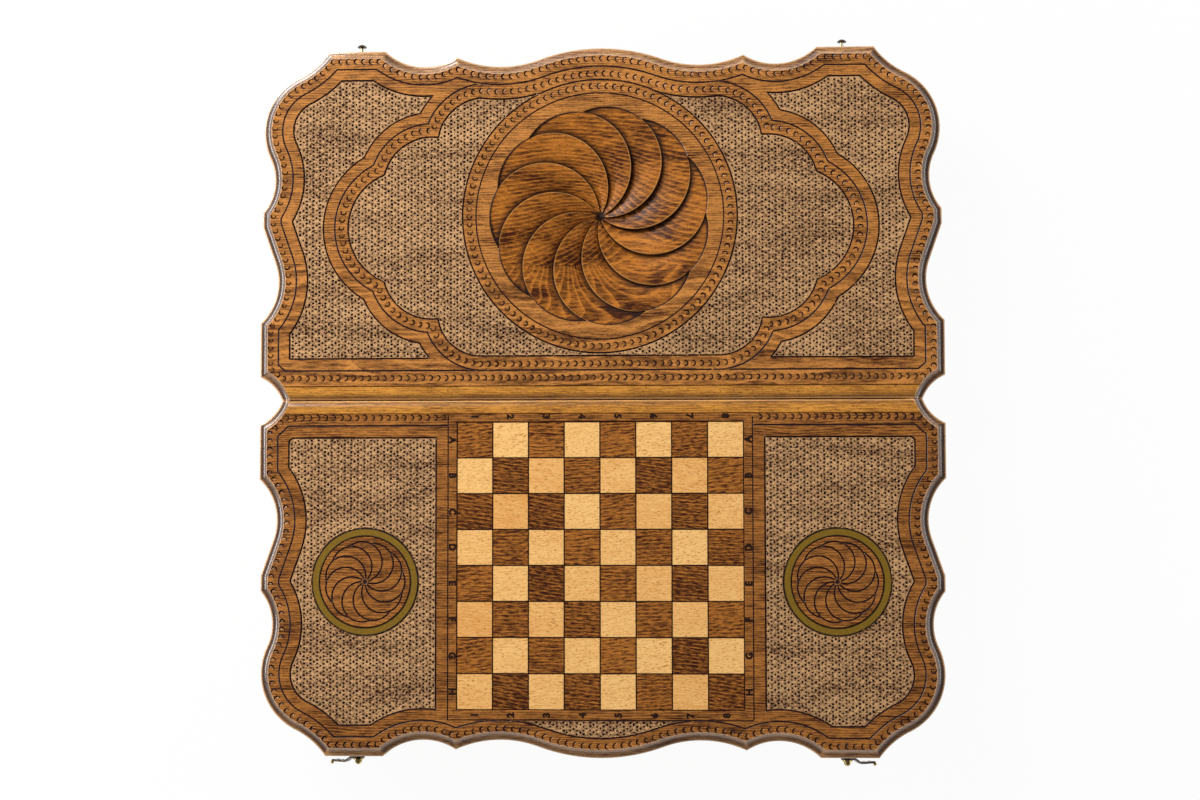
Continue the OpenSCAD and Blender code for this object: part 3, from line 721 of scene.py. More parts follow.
@dataclass
class Shell:
    """Points, faces and point values gathered from several surfaces, welded into one mesh at the end."""

    weld_mm: float = 0.02
    sliver_mm: float = 0.002
    sharp: float = math.radians(14.0)
    points: list[np.ndarray] = field(default_factory=list)
    stain_and_shade: list[np.ndarray] = field(default_factory=list)
    wear_and_highlight: list[np.ndarray] = field(default_factory=list)
    faces: list[list[int]] = field(default_factory=list)
    slots: list[int] = field(default_factory=list)
    count: int = 0

    def add(self, points: np.ndarray, faces: Sequence, slots: Sequence[int] | int,
            stain_and_shade: np.ndarray | float = 0.0, wear_and_highlight: np.ndarray | float = 0.0) -> None:
        """Adds one surface.

        Args:
            points: its points in millimetres.
            faces: its faces, numbered from 0.
            slots: the material slot of each face, or one for all.
            stain_and_shade: how deep in a cut each point is, which sets how dark it is; it also paints shade
                on the rosette's blade feet, the gouges' walls and the seam's gap.
            wear_and_highlight: how pale each point is: worn edges and raised points, and a painted highlight
                on raised edges and gouge floors.
        """
        self.points.append(points)
        self.stain_and_shade.append(np.broadcast_to(stain_and_shade, len(points)).astype(float))
        self.wear_and_highlight.append(np.broadcast_to(wear_and_highlight, len(points)).astype(float))
        self.faces += [[int(i) + self.count for i in f] for f in faces]
        self.slots += [int(slots)] * len(faces) if np.isscalar(slots) else [int(s) for s in slots]
        self.count += len(points)

    def make(self, name: str, turned: bool, materials: Sequence[bpy.types.Material]) -> bpy.types.Object:
        """Puts the surfaces into one closed mesh, with the seam wall filled in, and dresses it.

        Args:
            name: the piece's name.
            turned: whether it is turned half a circle about z, as the chess half is.
            materials: one for each slot.

        Returns:
            The piece.
        """
        points = np.vstack(self.points) * MM
        if turned:
            points = points * [-1, -1, 1]
        mesh = bpy.data.meshes.new(name)
        mesh.from_pydata(points.tolist(), [], self.faces)
        mesh.polygons.foreach_set("material_index", np.array(self.slots, np.int32))
        for label, values in (("stain_and_shade", self.stain_and_shade), ("wear_and_highlight", self.wear_and_highlight)):
            layer = mesh.attributes.new(label, "FLOAT", "POINT")
            layer.data.foreach_set("value", np.concatenate(values).astype(np.float32))
        bm = bmesh.new()
        bm.from_mesh(mesh)
        bmesh.ops.remove_doubles(bm, verts=bm.verts, dist=self.weld_mm * MM)
        bmesh.ops.dissolve_degenerate(bm, edges=bm.edges, dist=self.sliver_mm * MM)
        bmesh.ops.holes_fill(bm, edges=[e for e in bm.edges if e.is_boundary], sides=0)
        bmesh.ops.recalc_face_normals(bm, faces=bm.faces)
        left = sum(e.is_boundary or not e.is_manifold for e in bm.edges)
        bmesh.ops.triangulate(bm, faces=[f for f in bm.faces if len(f.verts) > 4])
        bm.to_mesh(mesh)
        bm.free()
        mesh.polygons.foreach_set("use_smooth", np.ones(len(mesh.polygons), bool))
        mesh.set_sharp_from_angle(angle=self.sharp)
        for material in materials:
            mesh.materials.append(material)
        mesh.update()
        LOG.info("%s: %d faces, %d open or odd edges", name, len(mesh.polygons), left)
        return placed(name, mesh)


def placed(name: str, data: bpy.types.ID) -> bpy.types.Object:
    """Puts a mesh, lamp or camera into the scene.

    Args:
        name: the new object's name.
        data: what it shows.

    Returns:
        The object.
    """
    piece = bpy.data.objects.new(name, data)
    bpy.context.scene.collection.objects.link(piece)
    return piece


@dataclass(frozen=True)
class EdgeMoulding:
    """The moulding round a panel: a side wall, a narrow ledge, a cove and a step up to the flat face."""

    ledge: float = 1.6
    cove_r: float = 6.0
    step: float = 1.2

    def rows(self) -> list[tuple[float, float, float, float]]:
        """The profile from the bottom edge up, in which the cove is a quarter circle.

        Returns:
            Each row's inset, height, stain and rub.
        """
        cove_top = FACE_Z - self.step
        ledge_z = cove_top - self.cove_r
        # The wall's top edge and the step's edge are paler: worn there, and a painted highlight. The cove
        # darkens towards the ledge.
        wall = [(0.0, PANEL_Z, 0.0, 0.0), (0.0, 27.7, 0.0, 0.1), (0.25, 28.35, 0.0, 0.8),
                (0.8, 28.6, 0.0, 0.9), (self.ledge, ledge_z, 0.35, 0.2)]
        turn = np.radians(np.linspace(0, 90, 9)[1:])
        cove = [(self.ledge + self.cove_r * math.sin(a), cove_top - self.cove_r * math.cos(a),
                 0.42 * math.cos(a) + 0.06, 0.0) for a in turn]
        return [*wall, *cove, (TOP_INSET - 0.3, FACE_Z - 0.45, 0.0, 0.6), (TOP_INSET, FACE_Z, 0.0, 1.0)]

    def build(self, shell: Shell, outline: CaseOutline, roll: SeamRoll) -> None:
        """Carries the rows round the outline, with the cove darker on the sides that run away from the seam
        than on the front, and adds the flat underside.

        Args:
            shell: where the surface goes.
            outline: the panel's outline.
            roll: the seam roll, under which the rows stay.
        """
        rows = self.rows()
        rings = [outline.loop(r[0]) for r in rows]
        n = len(rings[0])
        points, stain_and_shade, wear_and_highlight = [], [], []
        # The cove's darkening is scaled up on the sides that run away from the seam and down on the front.
        along = np.roll(rings[0], -1, 0) - np.roll(rings[0], 1, 0)
        side_darkening = 0.2 + 0.8 * np.abs(along[:, 1]) / np.maximum(np.hypot(*along.T), 1e-9)
        for (_, z, cut, worn), ring in zip(rows, rings):
            points.append(np.column_stack([ring, roll.cap(ring[:, 1], z)]))
            stain_and_shade.append(cut * side_darkening)
            wear_and_highlight.append(np.full(n, worn))
        faces = grid_faces(len(rows), n, False)
        shell.add(np.vstack(points), faces, Ground.EDGE, np.concatenate(stain_and_shade), np.concatenate(wear_and_highlight))
        shell.add(points[0], [list(range(n))[::-1]], Ground.EDGE)


@dataclass
class Panel:
    """What the outer panels of both halves share: outline, seam roll, moulding and sunk grounds."""

    outline: CaseOutline = field(default_factory=CaseOutline)
    roll: SeamRoll = field(default_factory=SeamRoll)
    moulding: EdgeMoulding = field(default_factory=EdgeMoulding)
    sunk: float = 0.6
    chain_inset: float = 10.6
    border_inset: float = 17.6
    field_inset: float = 27.5

    def in_fields(self, p: np.ndarray) -> np.ndarray:
        """Tells which points lie on a punched ground."""
        raise NotImplementedError

    def bare(self, p: np.ndarray) -> np.ndarray:
        """Height of the bare surface: the flat face, the sunk grounds and the roll."""
        return self.roll.cap(p[:, 1], np.where(self.in_fields(p), FACE_Z - self.sunk, FACE_Z))

    def cut_line(self, relief: Relief, loop: np.ndarray, step: float, keep: Callable,
                 width: float = 1.7) -> None:
        """Cuts the stretches of a closed line that are kept.

        Args:
            relief: the face that is cut.
            loop: the line's points.
            step: how finely it is tested.
            keep: tells which of its points are kept.
            width: the stroke's width.
        """
        line = densify(loop, step, True)
        for part in runs(line, keep(line)):
            relief.stroke(part[::3], False, width)

    def cover(self, shell: Shell, relief: Relief, hole: Callable | None = None) -> None:
        """Adds the finished face and the moulding round it.

        Args:
            shell: where they go.
            relief: the cut face.
            hole: tells which points lie where another surface takes over.
        """
        points, stain_and_shade, tris = relief.triangulate(hole)
        middle = points[tris].mean(1)
        slots = np.where(self.in_fields(middle), Ground.FIELD, Ground.BAND)
        slots[middle[:, 1] < self.roll.width - self.roll.quirk] = Ground.ROLL
        shell.add(points, tris, slots, stain_and_shade, relief.wear_and_highlight_share(points, stain_and_shade))
        self.moulding.build(shell, self.outline, self.roll)


# Carved half


@dataclass
class Rosette:
    """The carved wheel: eleven blades that overlap like a folded fan, each with a raised clockwise edge."""

    y: float = 161.0
    blades: int = 11
    blade_r: float = 48.2
    first: float = math.radians(17.5)
    hub_f: float = 0.03
    hub_depth: float = 8.5
    rim_depth: float = 0.6
    step: float = 5.2
    across: int = 14
    along: int = 46

    def shares(self) -> np.ndarray:
        """Places across a blade from its raised edge to the foot of the next one, closer at both ends."""
        t = np.linspace(0, 1, self.across)
        return np.concatenate([[0.0, 0.012], 0.03 + 0.955 * t[1:] ** 1.05])

    def grid(self) -> tuple[np.ndarray, np.ndarray, np.ndarray]:
        """The blades' surface as rows from the hub out and columns round the wheel.

        A blade's edge is part of a circle through the hub: at the share f of the way out its bearing leans
        back by the arc cosine of f. Across a blade the surface falls by the step's depth times the share of
        the way, raised to 1.4.

        Returns:
            The points as an array of rows and columns, and each column's share and rub.
        """
        turn = TURN / self.blades
        t = self.shares()
        f = self.hub_f + (1 - self.hub_f) * np.linspace(0, 1, self.along)
        k = np.repeat(np.arange(self.blades), len(t))
        tt = np.tile(t, self.blades)
        valley = 2 * self.blade_r * math.cos(turn / 2)
        lean = np.arccos(f * valley / (2 * self.blade_r))
        r = f[:, None] * 2 * self.blade_r * np.cos(turn * (tt - 0.5))[None]
        a = self.first + turn * (k + tt)[None] - lean[:, None]
        edge = self.rim_depth + (self.hub_depth - self.rim_depth) * (1 - f) ** 3
        step = 0.2 + (self.step - 0.2) * np.sin(np.pi * np.clip(f, 0, 1) ** 0.75) ** 1.2 + 0.9 * f
        crown = 0.35 * np.sin(np.pi * tt) * np.ones_like(f)[:, None] * np.sin(np.pi * f)[:, None]
        z = FACE_Z - edge[:, None] - step[:, None] * (tt**1.4)[None] + crown
        xy = polar((0.0, self.y), r, a)
        return np.concatenate([xy, z[..., None]], -1), tt, np.clip(1 - tt / 0.04, 0, 1)

    def rim(self) -> np.ndarray:
        """The wheel's outer edge, as a closed row of points."""
        return self.grid()[0][-1]

    def build(self, shell: Shell) -> None:
        """Adds the blades and the small boss where they meet.

        Args:
            shell: where the surface goes.
        """
        grid, share, wear_and_highlight = self.grid()
        rows, n = grid.shape[:2]
        out = np.linspace(0, 1, rows)[:, None]
        # Each blade darkens towards the foot under the next blade's raised edge: stained there, and painted
        # shadow. The outermost row is the dark line of the rim's cut, and the rows round the hub and the boss
        # are darker too.
        foot = np.clip((share - 0.6) / 0.4, 0, 1)[None] ** 2.2
        stain_and_shade = np.maximum(foot * (1.0 - 0.1 * out), np.clip((out - 0.985) / 0.015, 0, 1) * np.ones(n))
        stain_and_shade = np.maximum(stain_and_shade, np.clip(1 - out / 0.035, 0, 1) * 0.9)
        # The raised edges are paler: worn, and a painted highlight.
        worn = wear_and_highlight[None] * np.ones((rows, 1))
        shell.add(grid.reshape(-1, 3), grid_faces(rows, n, True), Ground.ROSETTE, stain_and_shade.ravel(), worn.ravel())
        hub = np.vstack([grid[0], [[0.0, self.y, grid[0, :, 2].mean() - 0.3]]])
        i = np.arange(n)
        shell.add(hub, np.stack([i, (i + 1) % n, np.full(n, n)], -1), Ground.ROSETTE, 0.9)


@dataclass
class CarvedPanel(Panel):
    """The carved half's outer panel: borders, the lobed cartouche, punched grounds and the rosette."""

    rosette: Rosette = field(default_factory=Rosette)
    chain_seam: float = 19.3
    border_seam: float = 25.8
    field_seam: float = 36.4
    ring_outer: float = 120.3
    ring_chain: float = 114.5
    ring_inner: float = 108.5
    swell_from: float = 35.0
    swing_x: float = 98.0
    inner_line: tuple[float, float, float] = (-11.8, 30.5, 38.3)
    chain_line: tuple[float, float, float] = (-5.9, 24.1, 31.4)
    outer_line: tuple[float, float, float] = (10.1, 7.5, 15.0)
    edge_pitch: float = 6.8
    pitch: float = 6.9
    fine_line: float = 1.4
    lobes: tuple = ((105.0, 65.8, 48.8), (147.5, 27.8, 54.8), (170.6, -9.6, 62.6), (147.5, -47.0, 54.8),
                    (105.0, -85.0, 48.8))

    def cartouche(self, grow: float, top_inset: float, foot_y: float) -> np.ndarray:
        """The cartouche's line, moved out by grow: front border, five lobes on each side, seam border.

        The first and last lobe swell towards their ends, so that they run into the border lines.

        Args:
            grow: how far outside the middle line it is.
            top_inset: the inset of the border that its top follows.
            foot_y: the height of the straight line at its foot.

        Returns:
            The closed line.
        """
        mid_y = self.rosette.y
        (top_x, top_y, top_r), (_, low_y, low_r) = self.lobes[0], self.lobes[-1]
        top = self.outline.right(top_inset, SEAM_Y)
        top = top[top[:, 0] < top_x][::-1]
        lift_top = np.interp(top_x, top[:, 0], top[:, 1]) - (mid_y + top_y + top_r + grow)
        lift_foot = (mid_y + low_y - low_r - grow) - foot_y
        centres = [np.array([x, mid_y + y]) for x, y, _ in self.lobes]
        radii = [r + grow for _, _, r in self.lobes]
        final = len(centres) - 1
        parts = [top]
        last = centres[0] + [0, radii[0]]
        for i, (c, r) in enumerate(zip(centres, radii)):
            end = c - [0, r] if i == final else crossing(c, r, centres[i + 1], radii[i + 1], 1)
            arc = short_arc(c, last, end, 30)
            angle = np.arctan2(arc[:, 1] - c[1], arc[:, 0] - c[0])
            for lobe, side, lift in ((0, 1, lift_top), (final, -1, lift_foot)):
                if i == lobe:
                    share = (side * np.degrees(angle) - self.swell_from) / (90 - self.swell_from)
                    arc = polar(c, r + lift * np.clip(share, 0, 1) ** 2, angle)
            parts.append(arc)
            last = end
        parts.append(np.stack([np.linspace(top_x, 0, 22), np.full(22, foot_y)], -1))
        right = np.vstack(parts)
        return np.vstack([right, right[-2:0:-1] * [-1, 1]])

    def __post_init__(self) -> None:
        """Works out the lines that bound the punched grounds."""
        self.inner_loop = self.cartouche(*self.inner_line)
        self.outer_loop = self.cartouche(*self.outer_line)
        self.field_loop = self.outline.loop(self.field_inset, self.field_seam)

    def out(self, p: np.ndarray) -> np.ndarray:
        """Distances from the rosette's middle."""
        return np.hypot(p[:, 0], p[:, 1] - self.rosette.y)

    def in_fields(self, p: np.ndarray) -> np.ndarray:
        """Tells which points lie on a punched ground: inside the cartouche, or in one of the corners."""
        inner = inside(self.inner_loop, p) & (self.out(p) > self.ring_outer)
        return inner | (inside(self.field_loop, p) & ~inside(self.outer_loop, p))

    def build(self, materials: Sequence[bpy.types.Material]) -> bpy.types.Object:
        """Cuts all the ornament into the face and closes the panel.

        Args:
            materials: one for each slot.

        Returns:
            The panel.
        """
        relief = Relief(self.outline, self.roll, self.bare)
        centre = (0, self.rosette.y)
        angle = np.linspace(0, TURN, 150, endpoint=False)
        relief.seam_rows()
        relief.stroke(self.outline.loop(self.border_inset, self.border_seam), True)
        middle = self.cartouche(0.0, self.border_inset, self.border_seam)
        self.cut_line(relief, middle, 0.8, lambda p: np.abs(p[:, 0]) > self.swing_x)
        self.cut_line(relief, self.inner_loop, 0.6, lambda p: self.out(p) > self.ring_outer + 0.4)
        self.cut_line(relief, self.outer_loop, 0.6, lambda p: inside(self.field_loop, p))
        self.cut_line(relief, self.field_loop, 0.6, lambda p: ~inside(self.outer_loop, p))
        relief.stroke(polar(centre, self.ring_outer, angle), True)
        relief.stroke(polar(centre, self.ring_inner, angle), True, self.fine_line)
        rim = self.rosette.rim()
        relief.row(rim[:, :2], rim[:, 2], 1.0, True)
        lip = densify(rim[:, :2], 3.0, True)
        lip = polar(centre, self.out(lip) + 0.8, np.arctan2(lip[:, 1] - centre[1], lip[:, 0]))
        relief.row(lip, FACE_Z, 0.15, True)
        relief.gouges(self.outline.loop(self.chain_inset, self.chain_seam), self.edge_pitch)
        relief.gouges(self.cartouche(*self.chain_line)[::-1], self.pitch)
        relief.gouges(polar(centre, self.ring_chain, angle), self.pitch)
        relief.punch(self.in_fields)
        shell = Shell()
        self.cover(shell, relief, lambda p: inside(rim[:, :2], p))
        self.rosette.build(shell)
        return shell.make("carved_panel_relief", False, materials)


# Chess half


@dataclass
class ChessPanel(Panel):
    """The chess half's outer panel: borders, the framed field, two medallions and punched grounds."""

    square_t: float = 2.0
    medallion_r: float = 46.4
    medallion_ring: float = 6.5
    medallion_t: float = 1.2
    chain_seam: float = 15.4
    border_seam: float = 22.5
    field_seam: float = 33.0
    frame_x: float = 132.5
    frame_foot: float = 13.4
    frame_y: float = 277.6
    frame_line: float = 1.3
    border_low: float = 30.0
    chain_low: float = 20.0
    chain_clear: float = 3.0
    pitch: float = 6.9
    field_x: float = 142.8
    lens_y: float = 278.7
    lens_half_w: float = 90.0
    swirl_blades: int = 11
    swirl_r: float = 17.5
    swirl_line: float = 1.7
    swirl_depth: float = 0.95

    def __post_init__(self) -> None:
        """Works out the lines that bound the punched grounds."""
        self.field_loop = self.outline.loop(self.field_inset, self.field_seam)
        self.border_loop = self.outline.loop(self.border_inset, self.border_seam)

    def in_fields(self, p: np.ndarray) -> np.ndarray:
        """Tells which points lie on a punched ground: beside the frame, or in the lens in front of it.

        Args:
            p: the points.

        Returns:
            One truth value for each point.
        """
        wide = np.abs(p[:, 0])
        out = np.hypot(wide - MEDALLION[0], p[:, 1] - MEDALLION[1])
        sides = inside(self.field_loop, p) & (wide > self.field_x) & (out > self.medallion_r + 0.6)
        lens = inside(self.border_loop, p) & (wide < self.lens_half_w) & (p[:, 1] > self.lens_y)
        return sides | lens

    def beside_frame(self, p: np.ndarray, frame_x: float, low: float) -> np.ndarray:
        """Tells which points are at least frame_x from the middle line, or at least low from the seam."""
        return (p[:, 1] >= low) | (np.abs(p[:, 0]) >= frame_x)

    def box(self, half_w: float, low: float, high: float) -> np.ndarray:
        """A rectangle's corners, symmetrical about the middle line."""
        return np.array([[-half_w, low], [half_w, low], [half_w, high], [-half_w, high]])

    def cut_recess(self, relief: Relief) -> None:
        """Sinks the ground that the squares are let into, with a dark line round it.

        Args:
            relief: the face that is cut.
        """
        half = 4 * SQUARE
        low, high = FIRST_SQUARE_Y, FIRST_SQUARE_Y + 2 * half
        floor = FACE_Z - self.square_t
        for grow, z, stain_and_shade in ((0.75, FACE_Z, 0.1), (0.1, FACE_Z - 0.8, 1.0), (0.0, floor, 1.0)):
            loop = densify(self.box(half + grow, low - grow, high + grow), 12.0, True)
            relief.row(loop, z, stain_and_shade, True)

    def cut_medallion(self, relief: Relief, side: int) -> None:
        """Cuts the groove that holds the painted ring, and the swirl of arcs inside it.

        The swirl's rim is a row of small arcs, and each blade is part of a circle through the middle, as in
        the rosette.

        Args:
            relief: the face that is cut.
            side: 1 for the medallion at positive x, -1 for the other.
        """
        centre = (side * MEDALLION[0], MEDALLION[1])
        angle = np.linspace(0, TURN, 96, endpoint=False)
        outer, inner = self.medallion_r, self.medallion_r - self.medallion_ring
        floor = FACE_Z - self.medallion_t
        for r, z, stain_and_shade in ((outer + 1.1, FACE_Z - self.sunk, 0.2), (outer + 0.35, floor, 1.0),
                            (outer + 0.05, floor, 1.0), (inner - 0.05, floor, 1.0),
                            (inner - 0.3, FACE_Z - 0.8, 1.0), (inner - 1.0, FACE_Z, 0.1)):
            relief.row(polar(centre, r, angle), z, stain_and_shade, True)
        turn = TURN / self.swirl_blades
        t = np.linspace(0, 1, 9)[:-1]
        k = np.repeat(np.arange(self.swirl_blades), len(t))
        tt = np.tile(t, self.swirl_blades)
        rim = polar(centre, 2 * self.swirl_r * np.cos(turn * (tt - 0.5)), turn * (k + tt))
        relief.stroke(rim, True, self.swirl_line, self.swirl_depth)
        f = np.linspace(0.1, 0.985, 16)
        r = f * (2 * self.swirl_r * math.cos(turn / 2))
        lean = np.arccos(f * math.cos(turn / 2))
        for blade in range(self.swirl_blades):
            arc = polar(centre, r, turn * (blade + 0.5) - lean)
            relief.stroke(arc, False, self.swirl_line, self.swirl_depth)
        relief.add(np.array([centre]), FACE_Z - 0.9, 1.0)

    def build(self, materials: Sequence[bpy.types.Material]) -> bpy.types.Object:
        """Cuts all the ornament into the face and closes the panel.

        Args:
            materials: one for each slot.

        Returns:
            The panel.
        """
        relief = Relief(self.outline, self.roll, self.bare, np.random.default_rng(11))
        relief.seam_rows()
        self.cut_recess(relief)
        for side in (-1, 1):
            self.cut_medallion(relief, side)
        clear = partial(self.beside_frame, frame_x=self.frame_x, low=self.border_low)
        self.cut_line(relief, self.border_loop, 0.8, clear)
        frame = self.box(self.frame_x, self.frame_foot, self.frame_y)
        self.cut_line(relief, frame, 0.8, lambda p: p[:, 1] > self.frame_foot + 0.1, self.frame_line)
        corner = densify(self.field_loop, 0.6, True)
        for part in runs(corner, np.abs(corner[:, 0]) > self.field_x):
            relief.stroke(part[::3])
            foot, head = sorted(part[[0, -1]].tolist(), key=lambda q: q[1])
            relief.stroke(np.array([[foot[0], foot[1] + 0.4], [foot[0], head[1] - 0.4]]))
        chain = self.outline.loop(self.chain_inset, self.chain_seam)[::-1]
        clear = partial(self.beside_frame, frame_x=self.frame_x + self.chain_clear, low=self.chain_low)
        relief.gouges(chain, self.pitch, clear)
        relief.punch(self.in_fields)
        shell = Shell()
        self.cover(shell, relief)
        return shell.make("chess_panel_relief", True, materials)


# Finishes


def tone(code: str) -> tuple[float, float, float, float]:
    """Turns an sRGB hex colour to linear red, green and blue, with full alpha."""
    parts = [int(code[i : i + 2], 16) / 255 for i in (1, 3, 5)]
    return (*(v / 12.92 if v <= 0.04045 else ((v + 0.055) / 1.055) ** 2.4 for v in parts), 1.0)


def wire(tree: bpy.types.NodeTree, node: bpy.types.Node, into: dict) -> None:
    """Sets or links a node's inputs.

    Args:
        tree: the tree that the node is in.
        node: the node.
        into: a value, or a socket to link, for each input's name or number.
    """
    for key, value in into.items():
        if isinstance(value, bpy.types.NodeSocket):
            tree.links.new(value, node.inputs[key])
        else:
            node.inputs[key].default_value = value


def add(tree: bpy.types.NodeTree, kind: str, into: dict, take: int | str = 0,
        **settings: object) -> bpy.types.NodeSocket:
    """Adds a node with its settings, and sets or links its inputs.

    Args:
        tree: the material's node tree.
        kind: the node's type name, without the words that every shader node's begins with.
        into: a value, or a socket to link, for each input's name or number.
        take: the output that is wanted.
        settings: the node's own properties.

    Returns:
        The wanted output.
    """
    made = tree.nodes.new("ShaderNode" + kind)
    for name, value in settings.items():
        setattr(made, name, value)
    wire(tree, made, into)
    return made.outputs[take]


def blank(name: str) -> tuple[bpy.types.Material, bpy.types.NodeTree, bpy.types.Node]:
    """Starts a material.

    Args:
        name: its name.

    Returns:
        The material, its node tree and its Principled BSDF.
    """
    material = bpy.data.materials.new(name)
    material.use_nodes = True
    return material, material.node_tree, material.node_tree.nodes["Principled BSDF"]


def millimetres(tree: bpy.types.NodeTree, turn: float = 0.0,
                shift: tuple[float, float, float] = (0.0, 0.0, 0.0)) -> bpy.types.NodeSocket:
    """Places on the object in millimetres.

    Args:
        tree: the material's node tree.
        turn: how far the pattern is turned about z, in radians.
        shift: how far it is shifted.

    Returns:
        The places as a socket.
    """
    place = add(tree, "TexCoord", {}, "Object")
    way = {"Vector": place, "Scale": (1 / MM,) * 3, "Rotation": (0, 0, turn), "Location": shift}
    return add(tree, "Mapping", way)


def streaks(tree: bpy.types.NodeTree, mm: bpy.types.NodeSocket, size: tuple[float, float], detail: float,
            rough: float) -> bpy.types.NodeSocket:
    """Noise drawn out along x.

    Args:
        tree: the material's node tree.
        mm: places in millimetres.
        size: the size of a streak along x and across it.
        detail: how many finer layers it has.
        rough: how strong they are.

    Returns:
        The noise as a socket.
    """
    along, across = (1 / s for s in size)
    thin = add(tree, "VectorMath", {0: mm, 1: (along, across, across)}, operation="MULTIPLY")
    return add(tree, "TexNoise", {"Vector": thin, "Scale": 1.0, "Detail": detail, "Roughness": rough})


class Grain(Enum):
    """The way the fibres of a piece run."""

    ALONG_HINGE = 0.0
    AWAY_FROM_HINGE = math.pi / 2


@dataclass(frozen=True)
class Beech:
    """Beech, planed or carved, stained and varnished satin.

    Beech shows fine growth rings, short dark flecks 2 to 3 mm long and a silky fibre. The brown staining
    gathers in the cuts, which turn nearly black, and wears off the raised edges. The same dark colour also
    paints shade at the feet of the rosette's blades, on the gouges' walls and in the seam's gap, and the pale
    worn colour also paints a highlight on raised edges and gouge floors. The growth rings are slices through
    layers that lie at a slope, and a block glued from two planks has another slope below its joint. Squares
    are each cut from another place and turned a little, with a burnt line between them.
    """

    name: str
    light: str = "#c07f3c"
    dark: str = "#401c08"
    fleck: str = "#351606"
    # The cut colour is the near black of the stained cuts, and also paints shade; the worn colour is that of
    # worn edges, and also paints a highlight.
    cut: str = "#260d14"
    worn: str = "#e9bd8a"
    ring_mm: float = 1.7
    layer_y: float = 0.8
    layer_z: float = 0.55
    low_layer_y: float = 0.8
    low_layer_z: float = 0.55
    joint_mm: float = 0.0
    wander_mm: float = 4.0
    wander_size: tuple[float, float] = (95.0, 24.0)
    ring: float = 0.5
    fibre: float = 2.3
    fibre_mm: tuple[float, float] = (11.0, 1.6)
    patch: float = 1.2
    patch_mm: tuple[float, float] = (70.0, 17.0)
    flecks: float = 0.6
    fleck_mm: tuple[float, float] = (2.8, 0.6)
    base: float = 0.36
    cut_from: float = 0.5
    cut_to: float = 0.68
    cut_share: float = 1.0
    wear_and_highlight_from: float = 0.3
    rough: float = 0.32
    coat: float = 0.12
    shine: float = 0.3
    grit: float = 0.0
    grit_mm: float = 1.1
    squares: bool = False
    square_shift: float = 0.0
    square_line: float = 0.8
    square_lean: float = 0.16
    square_jump: tuple[float, float, float] = (400.0, 400.0, 90.0)
    relief_mm: float = 0.12
    carved: bool = True
    grain: Grain = Grain.ALONG_HINGE
    shift: tuple[float, float, float] = (0.0, 0.0, 0.0)

    def inlay(self, tree: bpy.types.NodeTree, mm: bpy.types.NodeSocket) -> tuple[bpy.types.NodeSocket, ...]:
        """Cuts every square of the chess field from another place of the wood.

        Args:
            tree: the material's node tree.
            mm: places in millimetres.

        Returns:
            The places in the wood, a number from 0 to 1 for each square, and how burnt its edge is.
        """
        cell = add(tree, "VectorMath", {0: mm, 1: (0, FIRST_SQUARE_Y, 0)}, operation="ADD")
        cell = add(tree, "VectorMath", {0: cell, 1: (1 / SQUARE,) * 3}, operation="MULTIPLY")
        cell = add(tree, "VectorMath", {0: cell, 1: (1, 1, 0)}, operation="MULTIPLY")
        part = add(tree, "VectorMath", {0: cell}, operation="FRACTION")
        part = add(tree, "VectorMath", {0: part, 1: (0.5, 0.5, 0.5)}, operation="SUBTRACT")
        part = add(tree, "VectorMath", {0: part}, operation="ABSOLUTE")
        part = add(tree, "SeparateXYZ", {0: part}, "X")
        part = add(tree, "Math", {0: part, 1: part.node.outputs["Y"]}, operation="MAXIMUM")
        line = self.square_line / SQUARE
        burnt = add(tree, "MapRange", {0: part, 1: 0.5 - line, 2: 0.5 - line / 2, 3: 0.0, 4: 0.9})
        cell = add(tree, "VectorMath", {0: cell}, operation="FLOOR")
        odd = add(tree, "TexWhiteNoise", {"Vector": cell})
        number = odd.node.outputs["Color"]
        away = add(tree, "VectorMath", {0: number, 1: self.square_jump}, operation="MULTIPLY")
        lean = add(tree, "MapRange", {0: odd, 1: 0.0, 2: 1.0, 3: -self.square_lean, 4: self.square_lean})
        mm = add(tree, "VectorRotate", {"Vector": mm, "Axis": (0, 0, 1), "Angle": lean})
        mm = add(tree, "VectorMath", {0: mm, 1: away}, operation="ADD")
        return mm, odd, burnt

    def rings(self, tree: bpy.types.NodeTree, mm: bpy.types.NodeSocket) -> bpy.types.NodeSocket:
        """Growth rings: the height above sloping layers, bent by slow noise, and repeated every ring.

        Args:
            tree: the material's node tree.
            mm: places in the wood.

        Returns:
            How late in its year the wood is, from -0.5 to 0.5.
        """
        wander = streaks(tree, mm, self.wander_size, 1.0, 0.4)
        slope = {0: mm, 1: (0, self.layer_y, self.layer_z)}
        layer = add(tree, "VectorMath", slope, "Value", operation="DOT_PRODUCT")
        if self.joint_mm:
            slope = {0: mm, 1: (0, self.low_layer_y, self.low_layer_z)}
            lower = add(tree, "VectorMath", slope, "Value", operation="DOT_PRODUCT")
            y = add(tree, "SeparateXYZ", {0: mm}, "Y")
            side = add(tree, "Math", {0: y, 1: self.joint_mm}, operation="GREATER_THAN")
            layer = add(tree, "Mix", {0: side, 2: lower, 3: layer}, 0, data_type="FLOAT")
        layer = add(tree, "Math", {0: wander, 1: self.wander_mm * 2, 2: layer}, operation="MULTIPLY_ADD")
        turns = add(tree, "Math", {0: layer, 1: 1 / self.ring_mm}, operation="MULTIPLY")
        share = add(tree, "Math", {0: turns}, operation="FRACT")
        reach = {0: share, 1: 0.04, 2: 0.5, 3: -0.5, 4: 0.5}
        return add(tree, "MapRange", reach, interpolation_type="SMOOTHSTEP")

